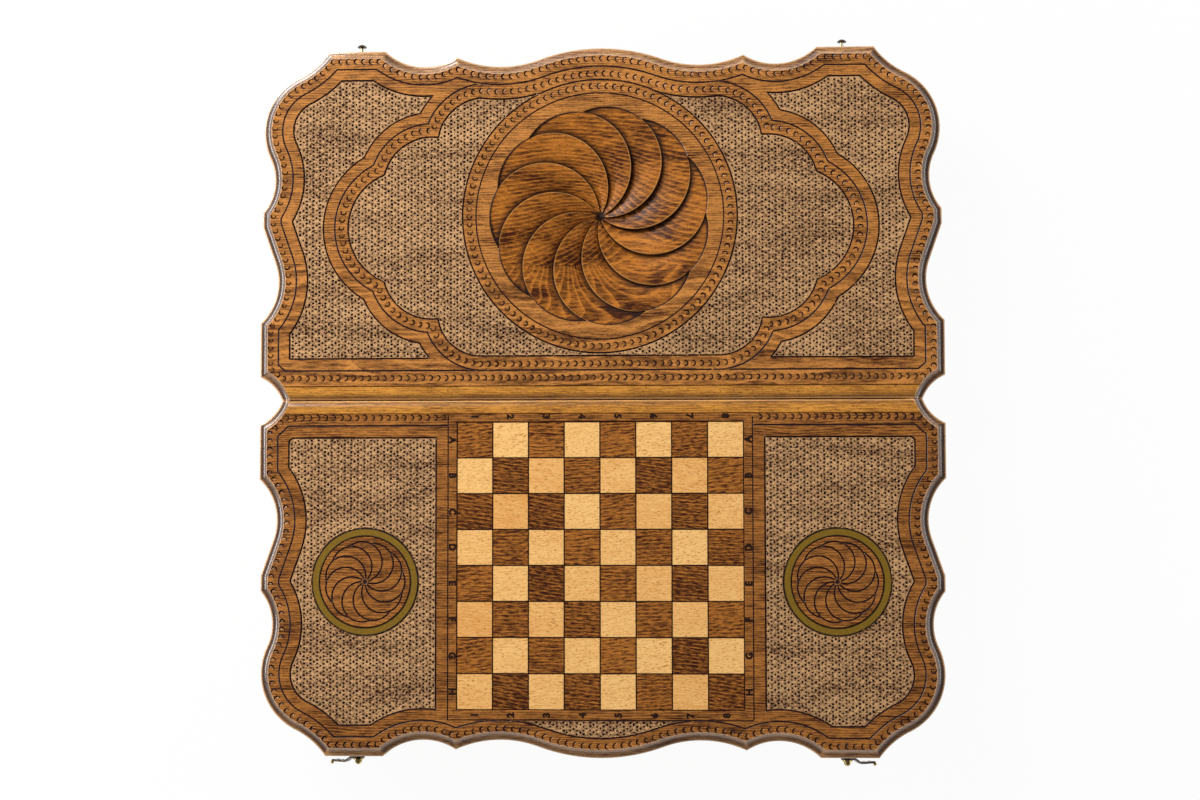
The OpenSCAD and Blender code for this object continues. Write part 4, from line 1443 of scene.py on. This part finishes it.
    def make(self) -> bpy.types.Material:
        """Builds the material: rings, fibres, flecks and patches in millimetres, then the dark of the stained
        cuts and of painted shade, and the paleness of worn edges and of a painted highlight.

        Returns:
            The material.
        """
        material, tree, shader = blank(self.name)
        mm = millimetres(tree, self.grain.value, self.shift)
        if self.squares:
            mm, odd, burnt = self.inlay(tree, mm)
        late = self.rings(tree, mm)
        fibre = streaks(tree, mm, self.fibre_mm, 3.0, 0.62)
        spot = streaks(tree, mm, self.fleck_mm, 1.0, 0.4)
        fleck = add(tree, "MapRange", {0: spot, 1: 0.57, 2: 0.69, 3: 0.0, 4: self.flecks},
                    interpolation_type="SMOOTHSTEP")
        cloud = streaks(tree, mm, self.patch_mm, 2.0, 0.5)
        height = add(tree, "Math", {0: fleck, 1: -0.6, 2: fibre}, operation="MULTIPLY_ADD")
        parts = [(late, self.ring), (fibre, self.fibre), (cloud, self.patch)]
        if self.grit:
            point = add(tree, "TexNoise", {"Vector": mm, "Scale": 1 / self.grit_mm, "Detail": 2.0})
            height = add(tree, "Math", {0: point, 1: 1.2, 2: height}, operation="MULTIPLY_ADD")
            parts.append((point, self.grit))
        if self.squares:
            parts.append((odd, self.square_shift))
        depth = self.base
        for pattern, amount in parts:
            depth = add(tree, "Math", {0: pattern, 1: amount, 2: depth}, operation="MULTIPLY_ADD")
        mean = sum(amount for _, amount in parts[1:]) / 2
        depth = add(tree, "Math", {0: depth, 1: mean}, operation="SUBTRACT", use_clamp=True)
        layers = [(fleck, self.fleck)]
        if self.squares:
            layers.append((burnt, self.cut))
        gloss = add(tree, "Math", {0: fibre, 1: 0.2, 2: self.rough - 0.1}, operation="MULTIPLY_ADD")
        if self.carved:
            # Dark where the face marks stained cuts and painted shade.
            stain_and_shade = add(tree, "Attribute", {}, "Fac", attribute_name="stain_and_shade")
            reach = {0: stain_and_shade, 1: self.cut_from, 2: self.cut_to, 3: 0.0, 4: self.cut_share}
            soaked_and_shaded = add(tree, "MapRange", reach, interpolation_type="SMOOTHSTEP")
            # Pale where the face marks worn edges and a painted highlight.
            wear_and_highlight = add(tree, "Attribute", {}, "Fac", attribute_name="wear_and_highlight")
            bare = add(tree, "MapRange", {0: wear_and_highlight, 1: self.wear_and_highlight_from, 2: 1.0, 3: 0.0, 4: 0.75},
                       interpolation_type="SMOOTHSTEP")
            bare = add(tree, "Math", {0: bare, 1: fibre}, operation="MULTIPLY")
            bare = add(tree, "Math", {0: bare, 1: 1.9}, operation="MULTIPLY", use_clamp=True)
            gloss = add(tree, "Math", {0: soaked_and_shaded, 1: 0.15, 2: gloss}, operation="MULTIPLY_ADD")
            layers += [(soaked_and_shaded, self.cut), (bare, self.worn)]
        colour = add(tree, "Mix", {0: depth, 6: tone(self.light), 7: tone(self.dark)}, 2, data_type="RGBA")
        for share, code in layers:
            colour = add(tree, "Mix", {0: share, 6: colour, 7: tone(code)}, 2, data_type="RGBA")
        relief = {"Height": height, "Strength": 0.6, "Distance": self.relief_mm * MM}
        wire(tree, shader, {"Base Color": colour, "Roughness": gloss, "IOR": 1.5,
                            "Normal": add(tree, "Bump", relief, "Normal"), "Coat Weight": self.coat,
                            "Coat Roughness": 0.16, "Specular IOR Level": self.shine})
        return material


@dataclass(frozen=True)
class WornMetal:
    """Cast or rolled brass, lacquered or bronzed, worn bright in places and dull brown in others."""

    name: str
    bright: str = "#b8964e"
    dull: str = "#5d4722"
    patch_mm: float = 3.0
    rough: float = 0.3
    tip: str = ""
    tip_y: float = 0.0
    tip_beyond: bool = True

    def make(self) -> bpy.types.Material:
        """Builds the metal: patches of tarnish, fine scratches, and another tone on the tip where it has one.

        Returns:
            The material.
        """
        material, tree, shader = blank(self.name)
        mm = millimetres(tree)
        patch = add(tree, "TexNoise", {"Vector": mm, "Scale": 1 / self.patch_mm, "Detail": 4.0})
        worn = add(tree, "MapRange", {0: patch, 1: 0.38, 2: 0.62, 3: 0.0, 4: 1.0},
                   interpolation_type="SMOOTHSTEP")
        scratch = streaks(tree, mm, (4.0, 0.25), 2.0, 0.7)
        colour = add(tree, "Mix", {0: worn, 6: tone(self.dull), 7: tone(self.bright)}, 2, data_type="RGBA")
        if self.tip:
            y = add(tree, "SeparateXYZ", {0: mm}, "Y")
            y = add(tree, "Math", {0: y}, operation="ABSOLUTE")
            way = "GREATER_THAN" if self.tip_beyond else "LESS_THAN"
            on_tip = add(tree, "Math", {0: y, 1: self.tip_y}, operation=way)
            colour = add(tree, "Mix", {0: on_tip, 6: colour, 7: tone(self.tip)}, 2, data_type="RGBA")
        gloss = add(tree, "Math", {0: scratch, 1: 0.3, 2: self.rough - 0.15}, operation="MULTIPLY_ADD")
        bump = add(tree, "Bump", {"Height": scratch, "Strength": 0.25, "Distance": 0.05 * MM}, "Normal")
        wire(tree, shader, {"Base Color": colour, "Roughness": gloss, "Normal": bump, "Metallic": 1.0})
        return material


@dataclass(frozen=True)
class GoldPaint:
    """Olive-gold bronze paint brushed on a ring: a dull body, fine metal flakes and both edges burnt dark."""

    name: str
    body: str = "#957214"
    thin: str = "#60450a"
    flake: str = "#b08c26"
    line: str = "#1c0d05"
    radii_mm: tuple[float, float] = (40.7, 45.6)

    def make(self) -> bpy.types.Material:
        """Builds the paint: brushed streaks, and flakes 0.5 mm wide, drawn coarser than real to show.

        The edges are dark where the distance from the ring's middle is far from that of its middle line.

        Returns:
            The material.
        """
        material, tree, shader = blank(self.name)
        mm = millimetres(tree)
        streak = add(tree, "TexNoise", {"Vector": mm, "Scale": 0.45, "Detail": 3.0, "Roughness": 0.6})
        fine = add(tree, "TexNoise", {"Vector": mm, "Scale": 2.0, "Detail": 1.0})
        shine = add(tree, "MapRange", {0: fine, 1: 0.5, 2: 0.75, 3: 0.0, 4: 0.6})
        out = add(tree, "VectorMath", {0: mm}, operation="ABSOLUTE")
        out = add(tree, "VectorMath", {0: out, 1: (*MEDALLION, 0)}, operation="SUBTRACT")
        out = add(tree, "VectorMath", {0: out, 1: (1, 1, 0)}, operation="MULTIPLY")
        out = add(tree, "VectorMath", {0: out}, "Value", operation="LENGTH")
        low, high = self.radii_mm
        away = add(tree, "Math", {0: out, 1: (low + high) / 2}, operation="SUBTRACT")
        away = add(tree, "Math", {0: away}, operation="ABSOLUTE")
        wide = (high - low) / 2
        edge = add(tree, "MapRange", {0: away, 1: wide - 0.1, 2: wide + 0.15, 3: 0.0, 4: 0.95})
        colour = add(tree, "Mix", {0: streak, 6: tone(self.thin), 7: tone(self.body)}, 2, data_type="RGBA")
        for share, code in ((shine, self.flake), (edge, self.line)):
            colour = add(tree, "Mix", {0: share, 6: colour, 7: tone(code)}, 2, data_type="RGBA")
        bare = add(tree, "Math", {0: 1.0, 1: edge}, operation="SUBTRACT")
        metal = add(tree, "Math", {0: shine, 1: bare}, operation="MULTIPLY")
        bump = add(tree, "Bump", {"Height": streak, "Strength": 0.4, "Distance": 0.1 * MM}, "Normal")
        wire(tree, shader, {"Base Color": colour, "Metallic": metal, "Normal": bump, "Roughness": 0.42})
        return material


@dataclass(frozen=True)
class BurntLine:
    """Pyrography: letters burnt into the wood, matt and nearly black, browner where the tip moved fast."""

    name: str
    deep: str = "#120705"
    faint: str = "#2c1409"

    def make(self) -> bpy.types.Material:
        """Builds the burnt tone with soft patches about 1.5 mm wide.

        Returns:
            The material.
        """
        material, tree, shader = blank(self.name)
        patch = add(tree, "TexNoise", {"Vector": millimetres(tree), "Scale": 0.65, "Detail": 2.0})
        colour = add(tree, "Mix", {0: patch, 6: tone(self.deep), 7: tone(self.faint)}, 2, data_type="RGBA")
        bump = add(tree, "Bump", {"Height": patch, "Strength": 0.2, "Distance": 0.1 * MM}, "Normal")
        wire(tree, shader, {"Base Color": colour, "Normal": bump, "Roughness": 0.6,
                            "Specular IOR Level": 0.15})
        return material


Finish = Beech | WornMetal | GoldPaint | BurntLine

# Flat faces: mid brown with dark rings and flecks, satin, and nearly black in the cuts
BAND = Beech("stained_beech_band", light="#bd7a38")
CARVED_BAND = Beech("stained_beech_two_planks", light="#ce8842", joint_mm=118.0, low_layer_y=0.14,
                    low_layer_z=1.0, base=0.27)
# The rolls at the seam: paler and warmer than the band, in part a painted highlight, shinier from handling,
# with a dark quirk
ROLL = Beech("stained_beech_roll", light="#dd983f", dark="#66330c", fleck="#532507", ring=0.3, fibre=1.8,
             base=0.25, cut_from=0.0, cut_to=0.9, cut_share=0.85, coat=0.3)
# Punched grounds: pale gritty points between black pits, matt
FIELD = Beech("punched_beech", light="#d4a574", dark="#4c2610", fleck="#3c1b0c", cut="#1d0a06", ring=0.2,
              fibre=1.0, grit=2.3, grit_mm=1.8, shine=0.2, coat=0.05, rough=0.42, base=0.3)
# The wheel: deep brown blades with wide dark rings, paler on each raised edge from wearing and a painted
# highlight, and dark at each blade's foot from staining and painted shadow
ROSETTE = Beech("carved_beech_wheel", light="#c5792c", dark="#3f1905", cut="#1d0804", worn="#d29a58",
                joint_mm=118.0, ring_mm=1.5, layer_y=0.35, layer_z=0.65, low_layer_y=0.15, low_layer_z=1.9,
                wander_mm=1.2, ring=0.52, patch=1.8, cut_from=0.15, cut_to=0.9, cut_share=0.95, shine=0.2,
                coat=0.03, rough=0.42)
# Moulded edge: smooth and the most varnished, so it carries the highlights; its colour is paler than the
# band, which paints in part the light the cove catches
EDGE = Beech("moulded_beech_edge", light="#dba36a", dark="#6a3818", cut="#2b120a", cut_from=0.0, cut_to=0.45,
             cut_share=0.9, coat=1.0, shine=0.5, rough=0.24, base=0.28)
# Case walls: plain stained wood whose fibres run along each wall
RAIL = Beech("stained_beech_rail", carved=False)
SIDE_RAIL = Beech("stained_beech_side_rail", carved=False, grain=Grain.AWAY_FROM_HINGE)
# Trays: pale varnished floors with pale and dark points let in
FLOOR = Beech("varnished_beech_floor", light="#e9bd83", dark="#a86f38", fleck="#a56f3a", carved=False,
              coat=0.3)
PALE_POINT = Beech("pale_beech_point", light="#f3cd92", dark="#c48e4c", fleck="#b98246", carved=False,
                   grain=Grain.AWAY_FROM_HINGE, shift=(40.0, 9.0, 0.0))
DARK_POINT = Beech("dark_beech_point", light="#8a5228", dark="#45210d", fleck="#351706", carved=False,
                   grain=Grain.AWAY_FROM_HINGE, shift=(90.0, 31.0, 0.0))
# Chess squares: honey and dark brown veneer, each with its own tone and grain
PALE_SQUARE = Beech("pale_beech_square", light="#ffcb80", dark="#dd8e3c", fleck="#b9742c", carved=False,
                    ring=0.2, fibre=1.2, patch=0.5, flecks=0.85, base=0.25, squares=True, square_shift=0.5)
DARK_SQUARE = Beech("dark_beech_square", light="#bd7630", dark="#3a1304", fleck="#2c0e03", carved=False,
                    fibre=3.8, fibre_mm=(6.0, 1.05), patch=0.7, base=0.44, squares=True, square_shift=0.4,
                    ring_mm=2.6)
# Fittings: yellow brass, brighter screws, and brown bronzed pieces with a paler tone at their tips
BRASS = WornMetal("worn_brass")
SCREW = WornMetal("polished_brass_screw", bright="#d6c07e", dull="#7d6632", rough=0.24)
BRONZED = WornMetal("bronzed_brass", bright="#6d5b45", dull="#2c241c", rough=0.34)
KNOB = WornMetal("bronzed_catch", bright="#5a4a36", dull="#241c14", tip="#cfc6a8", tip_y=317.3,
                 tip_beyond=False)
HOOK = WornMetal("bronzed_hook", bright="#66584a", dull="#1f1a17", tip="#b99e57", tip_y=317.35)
# The painted rings, and the burnt letters
OLIVE_GOLD = GoldPaint("olive_gold_paint")
BURNT = BurntLine("burnt_line")


# Marks


@dataclass
class FieldMarks:
    """The numbers and letters burnt beside the field: 1 to 8 above and below it, A to H on both sides."""

    top_y: float = -14.7
    foot_y: float = -273.2
    side_x: float = 128.5
    size: float = 8.2
    weight: float = 0.5
    half_t: float = 0.03

    def glyph(self, text: str, at: tuple[float, float], turn: float) -> tuple[np.ndarray, list[list[int]]]:
        """One letter as a thin closed mesh that stands on the face.

        Args:
            text: the letter.
            at: where its middle goes.
            turn: how far it is turned, in degrees.

        Returns:
            Its points in millimetres, and its faces.
        """
        curve = bpy.data.curves.new("mark", "FONT")
        curve.body = text
        curve.size = self.size
        curve.extrude = self.half_t
        curve.offset = self.weight
        curve.resolution_u = 3
        holder = bpy.data.objects.new("mark", curve)
        mesh = bpy.data.meshes.new_from_object(holder)
        points = np.array([v.co[:] for v in mesh.vertices], float)
        faces = [list(p.vertices) for p in mesh.polygons]
        bpy.data.objects.remove(holder)
        bpy.data.curves.remove(curve)
        bpy.data.meshes.remove(mesh)
        points -= (points.max(0) + points.min(0)) / 2
        a = math.radians(turn)
        spun = points[:, :2] @ np.array([[math.cos(a), math.sin(a)], [-math.sin(a), math.cos(a)]])
        return np.column_stack([spun + at, points[:, 2] + FACE_Z + 0.02]), faces

    def build(self, material: bpy.types.Material) -> bpy.types.Object:
        """Puts all the marks into one piece.

        Args:
            material: the burnt tone.

        Returns:
            The piece.
        """
        points, faces, count = [], [], 0
        row = [(str(i + 1), ((i - 3.5) * SQUARE, y), turn)
               for i in range(8) for y, turn in ((self.top_y, -90.0), (self.foot_y, 90.0))]
        column = [("ABCDEFGH"[j], (x, -FIRST_SQUARE_Y - (j + 0.5) * SQUARE), turn)
                  for j in range(8) for x, turn in ((self.side_x, 90.0), (-self.side_x, -90.0))]
        for text, at, turn in row + column:
            p, f = self.glyph(text, at, turn)
            points.append(p)
            faces += [[i + count for i in face] for face in f]
            count += len(p)
        mesh = bpy.data.meshes.new("field_marks")
        mesh.from_pydata((np.vstack(points) * MM).tolist(), [], faces)
        bm = bmesh.new()
        bm.from_mesh(mesh)
        bmesh.ops.remove_doubles(bm, verts=bm.verts, dist=0.001 * MM)
        bmesh.ops.recalc_face_normals(bm, faces=bm.faces)
        bm.to_mesh(mesh)
        bm.free()
        mesh.materials.append(material)
        LOG.info("field_marks: %d faces", len(mesh.polygons))
        return placed("field_marks", mesh)


# Camera, light and floor


@dataclass(frozen=True)
class SoftBox:
    """A lamp with a flat face, turned to the middle of the board: a square, or a low strip beside it."""

    name: str
    place: tuple[float, float, float]
    size: tuple[float, float]
    power: float

    def build(self) -> None:
        """Adds the lamp; its long side lies along Y where it stands beside the board."""
        lamp = bpy.data.lights.new(self.name, "AREA")
        lamp.shape = "RECTANGLE"
        lamp.size, lamp.size_y = self.size
        lamp.energy = self.power
        holder = placed(self.name, lamp)
        holder.location = self.place
        holder.rotation_euler = (-Vector(self.place)).to_track_quat("-Z", "Y").to_euler()


@dataclass
class Stage:
    """The floor, the soft lights and the camera, in metres and watts.

    The floor lies under the shut box, 36 mm below the open board. The room is bright low down and dim
    overhead.
    """

    floor_z: float = -0.0375
    reach: float = 6.0
    eye: tuple[float, float, float] = (0.08053, -0.09861, 1.82931)
    tilt: tuple[float, float, float] = (3.1239, 2.5716, -0.0777)
    lens: float = 61.95
    clip_end: float = 50.0
    horizon: float = 0.9
    overhead: float = 0.15
    paper_share: float = 0.95
    boxes: tuple[SoftBox, ...] = (
        SoftBox("upper_box", (-1.2, 1.65, 1.4), (1.0, 1.0), 47.0),
        SoftBox("left_strip", (-1.25, 0.3, 0.5), (1.4, 0.2), 13.0),
        SoftBox("right_strip", (1.25, 0.2, 0.5), (1.4, 0.2), 5.0),
    )

    def build(self) -> None:
        """Makes the white floor, the lamps, the room and the camera."""
        s, z = self.reach, self.floor_z
        mesh = bpy.data.meshes.new("floor")
        mesh.from_pydata([(-s, -s, z), (s, -s, z), (s, s, z), (-s, s, z)], [], [(0, 1, 2, 3)])
        mesh.materials.append(self.paper())
        floor = placed("floor", mesh)
        for box in self.boxes:
            box.build()
        self.room()
        camera = bpy.data.cameras.new("camera")
        camera.lens = self.lens
        camera.clip_end = self.clip_end
        holder = placed("camera", camera)
        holder.location = self.eye
        holder.rotation_euler = [math.radians(a) for a in self.tilt]
        bpy.context.scene.camera = holder
        bpy.context.scene.view_settings.view_transform = "Standard"

    def room(self) -> None:
        """Makes the light from all sides, which the camera sees as plain white."""
        world = bpy.data.worlds.new("room")
        bpy.context.scene.world = world
        world.use_nodes = True
        tree = world.node_tree
        way = add(tree, "TexCoord", {}, "Generated")
        up = add(tree, "SeparateXYZ", {0: way}, "Z")
        low = add(tree, "MapRange", {0: up, 1: 0.0, 2: 0.7, 3: self.horizon, 4: self.overhead})
        seen = add(tree, "LightPath", {}, "Is Camera Ray")
        low = add(tree, "Math", {0: low, 1: seen}, operation="MAXIMUM")
        wire(tree, tree.nodes["Background"], {"Color": (1, 1, 1, 1), "Strength": low})

    def paper(self) -> bpy.types.Material:
        """White seamless paper with a faint shadow; from below it is clear, and lets light reach the trays.

        Returns:
            The material.
        """
        material, tree, shader = blank("white_paper")
        wire(tree, shader, {"Base Color": tone("#f4f4f4"), "Roughness": 0.8})
        seen = add(tree, "LightPath", {}, "Is Camera Ray")
        rays = seen.node.outputs
        for kind in ("Is Glossy Ray", "Is Transmission Ray"):
            seen = add(tree, "Math", {0: seen, 1: rays[kind]}, operation="MAXIMUM")
        share = add(tree, "Math", {0: seen, 1: self.paper_share}, operation="MULTIPLY")
        white = add(tree, "Emission", {"Color": (1, 1, 1, 1), "Strength": 1.0})
        mixed = add(tree, "MixShader", {0: share, 1: shader.outputs[0], 2: white})
        back = add(tree, "NewGeometry", {}, "Backfacing")
        clear = add(tree, "Math", {0: back, 1: rays["Is Diffuse Ray"]}, operation="MAXIMUM")
        gone = add(tree, "BsdfTransparent", {})
        mixed = add(tree, "MixShader", {0: clear, 1: mixed, 2: gone})
        wire(tree, tree.nodes["Material Output"], {"Surface": mixed})
        return material


class Dressing:
    """The finish and the record's slot of every CAD node that keeps its shape."""

    kinds: tuple[tuple[str, Finish, str], ...] = (
        ("left_rail", SIDE_RAIL, "stained_wood"), ("right_rail", SIDE_RAIL, "stained_wood"),
        ("pockets", SIDE_RAIL, "stained_wood"), ("rail", RAIL, "stained_wood"),
        ("light_squares", PALE_SQUARE, "light_wood"), ("dark_squares", DARK_SQUARE, "dark_stained_wood"),
        ("light_points", PALE_POINT, "light_wood"), ("dark_points", DARK_POINT, "dark_stained_wood"),
        ("floor", FLOOR, "light_wood"), ("ring", OLIVE_GOLD, "olive_gold_paint"), ("leaf", BRASS, "brass"),
        ("hinge_screws", BRASS, "brass"), ("hinge_pin", BRONZED, "bronzed_brass"),
        ("catch_knob", KNOB, "brass"), ("hook_screw", SCREW, "brass"), ("washer", BRONZED, "bronzed_brass"),
        ("hook", HOOK, "bronzed_brass"), ("panel", BAND, "stained_wood"),
    )

    def __init__(self) -> None:
        """Starts with no materials made."""
        self.made: dict[str, bpy.types.Material] = {}

    def material(self, finish: Finish) -> bpy.types.Material:
        """The material of a finish, made when it is first asked for."""
        if finish.name not in self.made:
            self.made[finish.name] = finish.make()
        return self.made[finish.name]

    def finish_of(self, node: str) -> tuple[Finish, str]:
        """The finish and the slot of one node, told by the first kind that its name holds."""
        return next((finish, slot) for word, finish, slot in self.kinds if word in node)

    def dress(self, nodes: dict[str, bpy.types.Object]) -> None:
        """Gives every node its finish.

        Args:
            nodes: the CAD nodes by name.
        """
        for name, piece in sorted(nodes.items()):
            finish, slot = self.finish_of(name)
            piece.data.materials.clear()
            piece.data.materials.append(self.material(finish))
            LOG.info("%s: %s", name, finish.name)


def main() -> None:
    """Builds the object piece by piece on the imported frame."""
    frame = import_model()
    logging.basicConfig(level=logging.INFO, format="%(name)s: %(message)s")
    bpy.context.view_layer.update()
    dressing = Dressing()
    dressing.dress(frame["nodes"])
    carved = CarvedPanel().build([dressing.material(f) for f in (CARVED_BAND, FIELD, ROSETTE, EDGE, ROLL)])
    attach(carved, "carved_half")
    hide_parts("carved_panel")
    chess = ChessPanel().build([dressing.material(f) for f in (BAND, FIELD, ROSETTE, EDGE, ROLL)])
    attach(chess, "chess_half")
    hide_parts("chess_panel")
    marks = FieldMarks().build(dressing.material(BURNT))
    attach(marks, "chess_half")
    Stage().build()


if __name__ == "__main__":
    main()
